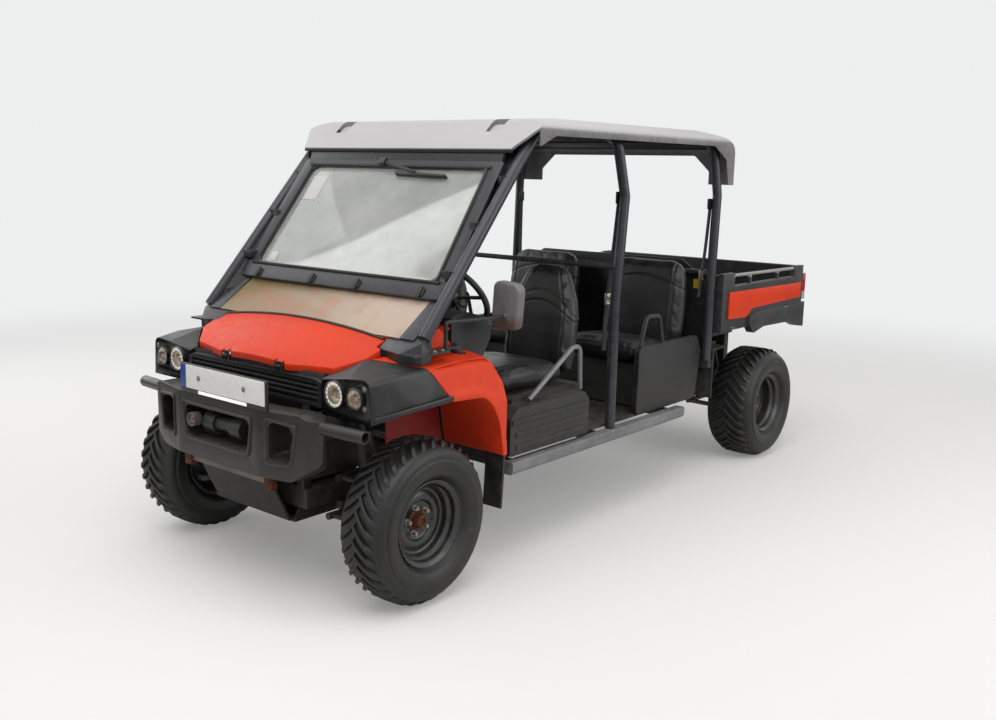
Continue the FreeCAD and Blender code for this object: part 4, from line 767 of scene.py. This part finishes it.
# Rims: pressed steel rims in black enamel with a stepped well, a dished centre, five nuts and a rusty hub.
rim_enamel = weathered("rim_enamel", (0.006, 0.006, 0.007), 0.20, dust=0.10, scratches=0.10, coat=0.4)
rust = two_tone("rusty_iron", (0.045, 0.016, 0.008), (0.17, 0.055, 0.018), (90, 5, 0.7), (0.35, 0.65),
                Metallic=0.35, Roughness=0.75)
rust.emboss(rust.noise(400, 4), 0.5, 0.001)
nut_steel = two_tone("nut_steel", (0.50, 0.49, 0.47), (0.16, 0.10, 0.07), (160, 3), (0.45, 0.7), Metallic=0.9)
nut_steel.rough(nut_steel.noise(120) * 0.4 + 0.2)
NUT_CIRCLE = 0.052
NUTS = 5
QUARTER_TURN = Matrix.Rotation(math.pi / 2, 4, "Y")
HUB = [(0.008, 0.0), (0.008, 0.0445), (0.0115, 0.044), (0.013, 0.034), (0.018, 0.030), (0.040, 0.026),
       (0.043, 0.020), (0.043, 0.012), (0.038, 0.011), (0.037, 0.0)]
NUT = [
    # radius, its two ends along the axis, edges
    (0.0125, 0.009, 0.012, 16), (0.0095, 0.012, 0.026, 6), (0.0055, 0.026, 0.031, 10),
]
WELL = [(0, 0.168), (0.001, 0.165), (-0.002, 0.160), (-0.010, 0.149), (-0.016, 0.1465), (-0.030, 0.1445),
        (-0.034, 0.139), (-0.042, 0.132), (-0.056, 0.130)]
DISH = [(0.020, 0.128), (0.017, 0.119), (0.022, 0.110), (0.026, 0.096), (0.024, 0.082), (0.012, 0.075),
        (0.009, 0.068), (0.009, 0.030), (-0.004, 0.030), (-0.004, 0.075), (0.010, 0.100), (0.006, 0.128)]
INNER_EDGE = [(0.046, 0.1265), (0.034, 0.143), (0.012, 0.147), (0, 0.160), (0, 0.168), (0.006, 0.168),
              (0.008, 0.1517), (0.034, 0.1497), (0.046, 0.1357)]
OUTER_SEAT = [(-0.046, 0.1357), (-0.034, 0.1497), (-0.008, 0.1517), (-0.006, 0.168)]
for corner, x, y, width, rim_half in TYRES:
    side = 1 if x > 0 else -1
    shape = ([(rim_half + a, r) for a, r in WELL] + DISH + [(a - rim_half, r) for a, r in INNER_EDGE]
             + [(rim_half + a, r) for a, r in OUTER_SEAT])
    shape = [(side * a, r) for a, r in shape]
    axle = (x, y, TYRE_RADIUS)
    ride = {"body": "wheel_" + corner}
    wheel = soften(lathe(shape, WHEEL_EDGES, centre=axle), 0.0012, 24)
    settle("rim_" + corner + "_steel", wheel, rim_enamel, "rim_black", "rim_" + corner, sharp=40, **ride)
    hub = lathe([(side * a, r) for a, r in HUB], HUB_EDGES, closed=False, centre=axle)
    settle("hub_" + corner, hub, rust, "rim_black", **ride)
    nut = bmesh.new()
    for radius, low, high, edges in NUT:
        grown = bmesh.ops.create_cone(nut, cap_ends=True, segments=edges, radius1=radius,
                                      radius2=radius * 0.92, depth=high - low)
        place = Matrix.Translation((side * (low + high) / 2, 0, NUT_CIRCLE))
        bmesh.ops.transform(nut, matrix=place @ QUARTER_TURN, verts=grown["verts"])
    nuts = placed(set_round(faces_out(nut), NUTS, 0.2, nut_steel), Matrix.Translation(axle))
    settle("nuts_" + corner, nuts, nut_steel, "rim_black", **ride)

# Seats: black vinyl over moulded foam, sewn from panels. The front backs are pear-shaped with a head part and
# raised sides, the rear ones are squarer; the cushions have a welt along the front. Each is swelled as cloth.
vinyl = Finish("seat_vinyl", Specular_IOR_Level=0.6)
vinyl_patch = vinyl.noise(6, 5, 0.6)
vinyl_dust = vinyl.noise(30, 6, 0.7).above(0.48, 0.75) * vinyl.normal().above(0.1, 0.9)
vinyl_skin = vinyl.mix((0.013, 0.013, 0.014), (0.028, 0.028, 0.027), vinyl_patch.above(0.35, 0.7))
vinyl.colour(vinyl.mix(vinyl_skin, (0.10, 0.09, 0.075), vinyl_dust * 0.35))
vinyl.rough(vinyl_patch * 0.20 + vinyl_dust * 0.25 + 0.27)
vinyl.emboss(vinyl.cells(520, "DISTANCE_TO_EDGE") * 0.5 + vinyl.noise(9, 5, 0.6, (1, 1, 0.35)) * 1.6,
             0.22, 0.002)
RING_POINTS = 44
PAD_VOXEL = 0.0088
SWELL_FRAMES = 15
SEAT_X = 0.345
SEATS = [
    # name, node, whether its rings stand up the back, swell, rings of y, z, half width, half thickness
    ("front_back", "front_seats", True, 0.010,
     [(1.150, 0.690, 0.160, 0.020), (1.152, 0.715, 0.195, 0.036), (1.160, 0.790, 0.206, 0.042),
      (1.172, 0.880, 0.210, 0.043), (1.186, 0.960, 0.205, 0.043), (1.202, 1.040, 0.185, 0.041),
      (1.216, 1.110, 0.150, 0.038), (1.226, 1.160, 0.122, 0.034), (1.232, 1.188, 0.090, 0.024),
      (1.233, 1.199, 0.050, 0.010)]),
    ("front_cushion", "front_seats", False, 0.010,
     [(0.602, 0.742, 0.200, 0.014), (0.612, 0.742, 0.222, 0.036), (0.640, 0.740, 0.232, 0.048),
      (0.740, 0.737, 0.235, 0.051), (0.860, 0.733, 0.235, 0.049), (0.980, 0.729, 0.233, 0.046),
      (1.045, 0.725, 0.224, 0.040), (1.066, 0.722, 0.190, 0.022)]),
    ("rear_back", "rear_seats", True, 0.009,
     [(2.080, 0.690, 0.205, 0.020), (2.080, 0.715, 0.236, 0.036), (2.088, 0.800, 0.248, 0.041),
      (2.100, 0.900, 0.250, 0.042), (2.112, 1.000, 0.248, 0.041), (2.124, 1.080, 0.238, 0.039),
      (2.131, 1.130, 0.222, 0.036), (2.135, 1.160, 0.196, 0.028), (2.137, 1.176, 0.150, 0.012)]),
    ("rear_cushion", "rear_seats", False, 0.009,
     [(1.642, 0.742, 0.200, 0.014), (1.652, 0.742, 0.222, 0.036), (1.680, 0.740, 0.232, 0.048),
      (1.780, 0.737, 0.235, 0.050), (1.880, 0.733, 0.234, 0.047), (1.960, 0.728, 0.226, 0.042),
      (1.985, 0.725, 0.190, 0.022)]),
]


def stuffed_form(upright, rings):
    """A closed soft-cornered form through its rings, which lie flat in a back and stand in a cushion."""
    form = bmesh.new()
    lines = []
    for y, z, wide, thick in rings:
        ring = []
        for i in range(RING_POINTS):
            angle = 2 * math.pi * i / RING_POINTS
            c, s = math.cos(angle), math.sin(angle)
            a = math.copysign(abs(c) ** 0.5, c) * wide
            b = math.copysign(abs(s) ** 0.62, s) * thick
            if upright:
                b -= 0.016 * max(0.0, abs(a) / wide - 0.55) if s < 0 else 0
                ring.append(form.verts.new((SEAT_X + a, y + b, z - b * 0.16)))
            else:
                ring.append(form.verts.new((SEAT_X + a, y - b * 0.03, z + b)))
        lines.append(ring)
    faces_between(form, lines)
    form.faces.new(lines[0])
    form.faces.new(lines[-1])
    return faces_out(form)


def swelled(form, swell):
    """The form as sewn cover under a little pressure, held within a cap."""
    pad = in_scene("pad", plain(form))
    remesh = pad.modifiers.new("even", "REMESH")
    remesh.mode = "VOXEL"
    remesh.voxel_size = PAD_VOXEL
    even = evaluated(pad)
    pad.modifiers.clear()
    pad.data = even
    before = [v.co.copy() for v in even.vertices]
    cloth = pad.modifiers.new("cover", "CLOTH")
    cloth.settings.use_pressure = True
    cloth.settings.uniform_pressure_force = 4
    cloth.settings.effector_weights.gravity = 0
    for step in range(1, SWELL_FRAMES):
        bpy.context.scene.frame_set(step)
    even = evaluated(pad)
    pad.modifiers.clear()
    for vertex, start in zip(even.vertices, before):
        push = vertex.co - start
        if push.length > swell:
            vertex.co = start + push.normalized() * swell
    bpy.context.scene.frame_set(1)
    bpy.data.objects.remove(pad)
    return even


def sewn(mesh, upright, name, front):
    """Press the seams in and raise the welts after the swelling; each is a line over the front or top."""
    fine = bmesh.new()
    fine.from_mesh(mesh)
    bmesh.ops.subdivide_edges(fine, edges=fine.edges, cuts=1, use_grid_fill=True)
    bmesh.ops.smooth_vert(fine, verts=fine.verts, factor=0.5,
                          use_axis_x=True, use_axis_y=True, use_axis_z=True)
    fine.normal_update()
    for vertex in fine.verts:
        x, y, z = vertex.co.x - SEAT_X, vertex.co.y, vertex.co.z
        # Each line: how far the point is from it, how high it stands, how wide it is.
        lines = []
        if upright and vertex.normal.y < 0.35:
            if name == "front_back":
                lines = [(abs(x) - (0.150 - 0.35 * max(0.0, z - 0.98)), -0.0045, 0.0045),
                         (z - (1.030 - 2.4 * x * x), -0.0040, 0.0045),
                         (z - (1.075 - 3.0 * x * x), -0.0022, 0.006)]
            else:
                lines = [(abs(x) - 0.180, -0.0045, 0.0045), (z - (1.090 - 1.2 * x * x), -0.0035, 0.005)]
        elif not upright and vertex.normal.z > -0.5:
            lines = [(z - (0.772 - 0.25 * x * x), 0.0045, 0.0040) if y < front + 0.05 else (1, 0, 1),
                     (abs(x) - 0.165, -0.0045, 0.0045), (y - (front + 0.30 - 0.8 * x * x), -0.0035, 0.005)]
        push = sum(height * math.exp(-(far / wide) ** 2) for far, height, wide in lines)
        vertex.co += vertex.normal * push
    return plain(fine)


for name, node, upright, swell, rows in SEATS:
    left_pad = sewn(swelled(stuffed_form(upright, rows), swell), upright, name, rows[0][0])
    for pad in settle_both(name, left_pad, vinyl, "seat_vinyl", node, sharp=60):
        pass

# Small fasteners: pan-head screws and washers that hold the mouldings, one shape set at a list of points.
screw_steel = two_tone("screw_steel", (0.30, 0.29, 0.28), (0.12, 0.075, 0.05), (200, 3), (0.45, 0.7),
                       Metallic=0.8)
screw_steel.rough(screw_steel.noise(150) * 0.3 + 0.3)


def points_tree():
    """The same piece at every point of a mesh, turned alike."""
    tree = Tree("pieces_at_points", Piece=("Object", None), Turn=("Vector", (0.0, 0.0, 0.0)),
                Size=("Float", 1.0), Surface=("Material", None))
    source = tree.add("GeometryNodeObjectInfo", output="Geometry", Object=tree.given("Piece"))
    scale = tree.add("ShaderNodeCombineXYZ", X=tree.given("Size"), Y=tree.given("Size"), Z=tree.given("Size"))
    set_out = tree.add("GeometryNodeInstanceOnPoints", Points=tree.given("Geometry"), Instance=source,
                       Rotation=tree.given("Turn"), Scale=scale)
    real = tree.add("GeometryNodeRealizeInstances", Geometry=set_out)
    painted = tree.add("GeometryNodeSetMaterial", Geometry=real, Material=tree.given("Surface"))
    return tree.close(painted)


at_points = points_tree()


def at_places(piece, places, turn, finish, size=1.0):
    cloud = bpy.data.meshes.new("places")
    cloud.from_pydata(places, [], [])
    return at_points.run(cloud, Piece=piece, Turn=turn, Size=size, Surface=finish.material)


SCREW = [(-0.002, 0.0), (-0.002, 0.011), (0.0008, 0.011), (0.0012, 0.0075), (0.0035, 0.0068),
         (0.0048, 0.0045), (0.0050, 0.0022), (0.0032, 0.0018), (0.0032, 0.0)]
SCREW_EDGES = 20
screw = pattern(lathe(SCREW, SCREW_EDGES, closed=False), "screw")
FORWARD = (0, 0, -math.pi / 2)
UP = (0, -math.pi / 2, 0)

# Head lamps: two round lamps a side in a glossy black face. The inner one has a ring of bright segments round
# its bowl, the outer one a plain bowl; both have a clear domed lens. The bowls and the segments glow, which
# is painted light. The brown tow lamp sits by the winch.
LAMP_Y, LAMP_Z = -0.257, 0.818
RIM_EDGES, LENS_EDGES, TOW_EDGES, SEGMENTS = 64, 56, 40, 16
LAMPS_AT = [
    # x, radius, whether it has the bright ring
    (0.492, 0.052, True), (0.600, 0.042, False),
]
# Painted light: the chrome glows a little, a painted reflection; the belt tongues share this finish.
chrome_with_painted_glow = two_tone("chrome_with_painted_glow", (0.84, 0.80, 0.72), (0.55, 0.42, 0.28), (42, 3), (0.40, 0.62),
                       Metallic=1.0, Roughness=0.14, Emission_Strength=0.05,
                       Emission_Color=(0.85, 0.80, 0.70))
chrome_with_painted_glow.emboss(chrome_with_painted_glow.cells(120), 0.35, 0.002)
# Painted light: the segments glow; the number plate's white strip shares this finish.
painted_glow_white = two_tone("painted_glow_white", (0.86, 0.86, 0.84), (0.70, 0.69, 0.66), (80,), Roughness=0.25,
                           Emission_Strength=0.60, Emission_Color=(0.9, 0.9, 0.86))
lens_clear = Finish("lamp_lens", Roughness=0.02, IOR=1.45, Transmission_Weight=1.0)
lamp_black = weathered("lamp_black", (0.012, 0.012, 0.013), 0.18, dust=0.2, patch=0.3, coat=0.6)


def face_ahead(form, x, y, z):
    """A form made about the X axis, set to face ahead at a place."""
    return placed(form, Matrix.Translation((x, y, z)) @ Matrix.Rotation(-math.pi / 2, 4, "Z"))


for x, radius, ringed in LAMPS_AT:
    cup = radius * (0.62 if ringed else 0.86)
    rim = [(0.000, radius), (0.006, radius - 0.001), (0.007, radius - 0.004), (0.002, radius - 0.006),
           (-0.058, radius - 0.006), (-0.058, radius)]
    bowl = [(-0.004, (radius - 0.007)), (-0.006, cup), (-0.022, cup * 0.8), (-0.036, cup * 0.45),
            (-0.040, radius * 0.16), (-0.026, radius * 0.15), (-0.020, radius * 0.10), (-0.018, 0.0)]
    dome = [(0.001, radius - 0.005), (0.004, radius * 0.80), (0.0065, radius * 0.5), (0.0075, 0.0),
            (0.0060, 0.0), (0.0050, radius * 0.5), (0.0025, radius * 0.8), (-0.0005, radius - 0.005)]
    for side, sign in (("left", 1), ("right", -1)):
        tag = ("inner_" if ringed else "outer_") + side
        place = (sign * x, LAMP_Y, LAMP_Z)
        settle("lamp_rim_" + tag, face_ahead(lathe(rim, RIM_EDGES), *place), lamp_black, "lamp_lens",
               "front_lamps")
        settle("lamp_bowl_" + tag, face_ahead(lathe(bowl, LENS_EDGES, closed=False), *place), chrome_with_painted_glow,
               "lamp_lens")
        if ringed:
            segment = block((-0.002, 0, radius * 0.76), (0.006, 0.0105, 0.0115), 0.0012)
            segments = face_ahead(set_round(segment, SEGMENTS, 0.0, painted_glow_white), *place)
            settle("lamp_segments_" + tag, segments, painted_glow_white, "lamp_lens")
        settle("lamp_lens_" + tag, face_ahead(lathe(dome, LENS_EDGES, closed=False), *place), lens_clear,
               "lamp_lens")
TOW_PLACE = (-0.152, -0.428, 0.644)
tow_glass = two_tone("tow_lamp", (0.10, 0.028, 0.016), (0.22, 0.085, 0.050), (60, 4), Roughness=0.25,
                     Coat_Weight=0.5)
tow_body = [(-0.034, 0.0), (-0.034, 0.0275), (0.000, 0.0275), (0.001, 0.025), (-0.003, 0.0205),
            (-0.020, 0.0195), (-0.020, 0.0)]
tow_lens = [(-0.0195, 0.0), (-0.0195, 0.0185), (-0.006, 0.0185), (-0.003, 0.013), (-0.0015, 0.006),
            (-0.001, 0.0)]
for name, profile, finish in (("tow_lamp_body", tow_body, cast_grey), ("tow_lamp_lens", tow_lens, tow_glass)):
    settle(name, face_ahead(lathe(profile, TOW_EDGES, closed=False), *TOW_PLACE), finish, "lamp_lens")

# Number plate: a blank white pressed plate with a blue band at its left end, in a black holder with a narrow
# white strip below, which glows as a painted highlight; two screws hold it.
PLATE_Y = -0.430
plate_paint = Finish("plate_paint", Roughness=0.35)
plate_white = plate_paint.mix((0.90, 0.895, 0.87), (0.82, 0.81, 0.78),
                              plate_paint.noise(40, 4).above(0.45, 0.8))
plate_paint.colour(plate_paint.mix(plate_white, (0.015, 0.05, 0.30),
                                   1 - plate_paint.at("X").above(-0.173, -0.171)))
settle("plate_holder", joined(slab(-0.216, 0.316, -0.4245, -0.412, 0.750, 0.864, 0.003),
                              slab(-0.07, 0.17, -0.414, -0.400, 0.7483, 0.790, 0.002)),
       moulded_black, "plate_white", "number_plate")
settle("plate_face", slab(-0.209, 0.309, PLATE_Y, -0.4245, 0.770, 0.861, 0.0015), plate_paint, "plate_white")
# Painted light: the white strip glows, a painted highlight.
settle("plate_strip", slab(-0.10, 0.20, -0.4265, -0.4243, 0.7535, 0.7665, 0.0006), painted_glow_white,
       "plate_white")
plate_screws = [(x, PLATE_Y, 0.816) for x in (-0.09, 0.19)]
settle("plate_screws", at_places(screw, plate_screws, FORWARD, screw_steel), screw_steel, "plate_white")

# Behind the grille: a fine black mesh that keeps stones off the cooler; its upper part fills the gap under
# the hood with black, which is painted shade.
mesh_and_shade_black = Finish("stone_mesh_and_shade", Roughness=0.7)
mesh_and_shade_black.colour(mesh_and_shade_black.mix((0.004, 0.004, 0.004), (0.03, 0.03, 0.03),
                                 mesh_and_shade_black.cells(260).above(0.30, 0.45)))
# Painted shade: the sheet's upper part stands in for the shade in the gap between hood and grille.
settle("stone_screen", slab(-0.405, 0.405, -0.2285, -0.2265, 0.757, 0.876, 0.0005), mesh_and_shade_black,
       "black_plastic")

# Mirrors: grey moulded housings that have faded, with a brown worn foot where they turn on their black arm.
mirror_shell = weathered("mirror_shell", (0.20, 0.195, 0.205), 0.45, chalk=(0.27, 0.26, 0.27), dust=0.3)
mirror_shell.cover((0.085, 0.050, 0.038), (1 - mirror_shell.at("Z").above(1.035, 1.075)) * 0.75)
mirror_shell.cover((0.016, 0.016, 0.017), 1 - mirror_shell.at("Y").above(0.412, 0.414))
dress("mirrors", mirror_shell, 0.001)

# Cargo bed: one black moulding whose rail tubes along the sides have worn bright, and its tail lamps.
RAIL_X = 0.686
bed_black = weathered("bed_black", (0.030, 0.030, 0.033), 0.45, dust=0.45, scratches=0.5,
                      chalk=(0.065, 0.065, 0.070))
bed_y = bed_black.at("Y")
on_tube = ((1 - (bed_black.at("X").abs() - RAIL_X).abs().above(0.0095, 0.0105))
           * bed_black.at("Z").above(1.060, 1.066) * bed_y.above(2.446, 2.450)
           * (1 - bed_y.above(3.226, 3.231)))
bed_black.cover((0.40, 0.38, 0.36), on_tube * 0.9)
dress("cargo_bed", bed_black, 0.004)
tail_glass = Finish("tail_lamp_glass", Roughness=0.18, Coat_Weight=0.4)
tail_white = tail_glass.mix((0.60, 0.60, 0.58), (0.45, 0.45, 0.44), tail_glass.noise(60))
tail_glass.colour(tail_glass.mix(tail_white, (0.42, 0.012, 0.008), tail_glass.at("Z").above(0.928, 0.931)))
tail_glass.emboss(tail_glass.cells(180), 0.4, 0.002)
dress("tail_lamps", tail_glass, 0.004)

# Windscreen trim: a black rubber seal round the pane, over-centre latches on the lower rail and two blank
# stickers. Places are across, up the slope from the screen's foot, and out from its plane.
SCREEN_FOOT = (0.1851, 1.122)
SCREEN_HEAD = (0.575, 1.645)
RAKE = math.atan2(SCREEN_HEAD[1] - SCREEN_FOOT[1], SCREEN_HEAD[0] - SCREEN_FOOT[0])
SCREEN_LENGTH = math.hypot(SCREEN_HEAD[1] - SCREEN_FOOT[1], SCREEN_HEAD[0] - SCREEN_FOOT[0])
ON_SCREEN = Matrix.Translation((0, *SCREEN_FOOT)) @ Matrix.Rotation(RAKE, 4, "X")
rubber_black = weathered("seal_rubber", (0.010, 0.010, 0.010), 0.5, dust=0.3)


def tube(points, radius, closed=False, flat=1.0, edges=10):
    """A soft tube through the points; flat squeezes or widens it along its second side."""
    line = smooth_line([*points, points[0]], LINE_STEPS)[:-1] if closed else smooth_line(points, LINE_STEPS)
    form = bmesh.new()
    rings = []
    count = len(line)
    for i, here in enumerate(line):
        ahead = line[(i + 1) % count] if closed or i + 1 < count else here
        before = line[i - 1] if closed or i > 0 else here
        along = (ahead - before).normalized()
        side = along.cross(Vector((0, 0, 1)) if abs(along.z) < 0.9 else Vector((0, 1, 0))).normalized()
        over = side.cross(along)
        rings.append([form.verts.new(here + side * radius * math.cos(a) + over * radius * flat * math.sin(a))
                      for a in (2 * math.pi * k / edges for k in range(edges))])
    faces_between(form, rings + rings[:1] if closed else rings)
    if not closed:
        form.faces.new(rings[0])
        form.faces.new(rings[-1])
    return faces_out(form)


def rounded_loop(corners, radius, out):
    """Points round a shape with rounded corners."""
    loop = []
    count = len(corners)
    for i, (x, y) in enumerate(corners):
        here = Vector((x, y))
        back = (Vector(corners[i - 1]) - here).normalized() * radius
        ahead = (Vector(corners[(i + 1) % count]) - here).normalized() * radius
        loop += [(*(here + back * to_back + ahead * to_ahead), out)
                 for to_back, to_ahead in ((2.2, 0), (0.55, 0.02), (0.02, 0.55), (0, 2.2))]
    return loop


PANE_TOP = SCREEN_LENGTH - 0.034
pane = [(-0.556, 0.071), (0.556, 0.071), (0.532, PANE_TOP), (-0.532, PANE_TOP)]
seal = tube(rounded_loop(pane, 0.030, 0.026), 0.0075, closed=True, edges=8)
settle("pane_seal", placed(seal, ON_SCREEN), rubber_black, "cage_grey")
latches = []
for x in (-0.50, -0.14, 0.14, 0.50):
    latches += [slab(x - 0.022, x + 0.022, 0.006, 0.038, 0.0255, 0.031, 0.0012),
                slab(x - 0.012, x + 0.012, -0.004, 0.046, 0.030, 0.036, 0.0015)]
settle("panel_latches", placed(joined(*latches), ON_SCREEN), rubber_black, "cage_grey")
GLASS_OUT, STICKER = 0.0150, 0.0006
sticker_white = two_tone("sticker_white", (0.72, 0.72, 0.70), (0.58, 0.57, 0.54), (50, 4), Roughness=0.4)
stickers = joined(slab(-0.497, -0.405, 0.430, 0.562, GLASS_OUT, GLASS_OUT + STICKER, 0.0002),
                  slab(-0.50, -0.452, 0.095, 0.143, GLASS_OUT, GLASS_OUT + STICKER, 0.0002))
settle("screen_stickers", placed(stickers, ON_SCREEN), sticker_white, "cage_grey")

# Weather strip: a rubber lip on the hood's rear edge, curved with it.
STRIP_X = (-0.482, -0.36, -0.24, -0.12, 0, 0.12, 0.24, 0.36, 0.482)
strip_line = [(x, 0.001, 1.0225 - 0.060 * (x / 0.64) ** 2) for x in STRIP_X]
settle("hood_strip", tube(strip_line, 0.0065), rubber_black, "red_body", body="hood")

# Cheeks beside the windscreen: rubber sheets that close the wedge between its frame and the front pillars.
CHEEK = [(0.572, 0.150, 1.075), (0.572, 0.185, 1.122), (0.560, 0.575, 1.645), (0.556, 0.622, 1.706),
         (0.612, 0.634, 1.706), (0.622, 0.581, 1.645), (0.642, 0.130, 1.122), (0.645, 0.092, 1.078)]
cheek = bmesh.new()
cheek_rows = [[cheek.verts.new((x, y + back, z)) for x, y, z in CHEEK] for back in (0, 0.003)]
for row in cheek_rows:
    faces_across(cheek, row)
faces_between(cheek, cheek_rows)
settle("screen_cheeks", both(faces_out(cheek)), rubber_black, "cage_grey")

# Fairing lips: a soft bead along the lower edge of each lamp fairing, which runs on into the fender's lip.
FAIRING_LIP = [(0.678, -0.236, 0.744), (0.7045, -0.160, 0.757), (0.7225, -0.075, 0.769),
               (0.7365, 0.020, 0.778), (0.7385, 0.070, 0.781), (0.7395, 0.112, 0.784)]
settle("fairing_lips", both(tube(FAIRING_LIP, 0.0035, flat=3.0, edges=12)), fairing_black, "black_plastic")

# Side lockers: a lid with an overhanging rim and three pressed ribs on each locker's outer wall.
LOCKER_X = 0.668
TRIM_X = LOCKER_X + 0.0002
locker_trim = [slab(TRIM_X, LOCKER_X + 0.0075, 0.556, 1.112, 0.582, 0.602, 0.003)]
for z in (0.415, 0.470, 0.525):
    locker_trim.append(slab(TRIM_X, LOCKER_X + 0.0040, 0.585, 1.085, z, z + 0.022, 0.0018))
settle("locker_trim", both(joined(*locker_trim)), seat_moulding, "black_plastic")

# Seat belts: grey webbing that hangs from the hoops, with a chrome tongue that glows a little as a painted
# glint, and a black anchor on each.
webbing = two_tone("belt_webbing", (0.028, 0.028, 0.030), (0.075, 0.072, 0.070), (90, 4, 0.6, (1, 1, 0.15)),
                   Roughness=0.75)
webbing.emboss(webbing.noise(500, 2, 0.5, (1, 1, 0.2)), 0.5, 0.001)
TONGUE_POINT = 3
BELTS = [
    # name, points down the strap
    ("front", [(0.634, 1.355, 1.50), (0.630, 1.343, 1.36), (0.624, 1.330, 1.20), (0.618, 1.318, 1.05),
               (0.612, 1.312, 0.92), (0.612, 1.310, 0.80)]),
    ("rear", [(0.634, 2.236, 1.46), (0.630, 2.230, 1.34), (0.624, 2.222, 1.20), (0.616, 2.214, 1.10),
              (0.612, 2.210, 0.98)]),
]
for name, points in BELTS:
    settle_both("belt_" + name, tube(points, 0.0014, flat=13.0, edges=12), webbing, "seat_vinyl")
    x, y, z = points[TONGUE_POINT]
    tongue = slab(x - 0.006, x + 0.004, y - 0.021, y + 0.016, z - 0.030, z + 0.020, 0.002)
    # Painted light: the tongue's chrome glows a little, a painted glint.
    settle_both("tongue_" + name, tongue, chrome_with_painted_glow, "seat_vinyl")
    x, y, z = points[0]
    anchor = slab(x - 0.008, x + 0.003, y - 0.020, y + 0.020, z - 0.015, z + 0.040, 0.004)
    settle_both("belt_anchor_" + name, anchor, rubber_black, "seat_vinyl")

# Bumper trim: raised ribs round the winch recess and the side openings, and below it a worn steel bar
# between two rusty tabs.
TO_FRONT = Matrix.Rotation(math.pi / 2, 4, "X")
RIB_OUT = 0.4185
RECESS = [(-0.196, 0.565), (0.196, 0.565), (0.216, 0.712), (-0.216, 0.712)]
SIDE_SLOT = [(0.290, 0.549), (0.402, 0.554), (0.425, 0.708), (0.290, 0.722)]
recess_rib, slot_rib = (
    placed(tube(rounded_loop(corners, 0.020, RIB_OUT), 0.0055, closed=True, edges=8), TO_FRONT)
    for corners in (RECESS, SIDE_SLOT))
for vertex in slot_rib.vertices:
    vertex.co.y += 0.209 * (vertex.co.x - 0.25)
settle("bumper_ribs", joined(recess_rib, both(slot_rib)), bumper_black, "black_plastic")
settle("tow_bar", slab(-0.262, 0.262, -0.372, -0.352, 0.452, 0.4935, 0.003), bare_steel, "axle_steel")
settle("tow_bar_tabs", both(slab(0.232, 0.276, -0.380, -0.350, 0.432, 0.4940, 0.004)), rust, "axle_steel")

# Screws of the lamp fairings and of the gussets at the front pillars' feet, and a blank yellow label at
# the rear hoop.
fairing_screws = [(x, -0.2505, z) for x in (0.643, -0.643) for z in (0.786, 0.858)]
settle("fairing_screws", at_places(screw, fairing_screws, FORWARD, screw_steel), screw_steel, "black_plastic")
gusset_screws = [(x, y, 0.957) for x in (0.673, -0.673) for y in (0.075, 0.120)]
settle("gusset_screws", at_places(screw, gusset_screws, UP, screw_steel, 1.2), screw_steel, "cage_grey")
label_yellow = two_tone("label_yellow", (0.72, 0.55, 0.02), (0.55, 0.40, 0.02), (60, 4), Roughness=0.45)
settle("blank_label", slab(0.548, 0.582, 2.2578, 2.2592, 1.018, 1.068, 0.0003), label_yellow, "black_plastic")
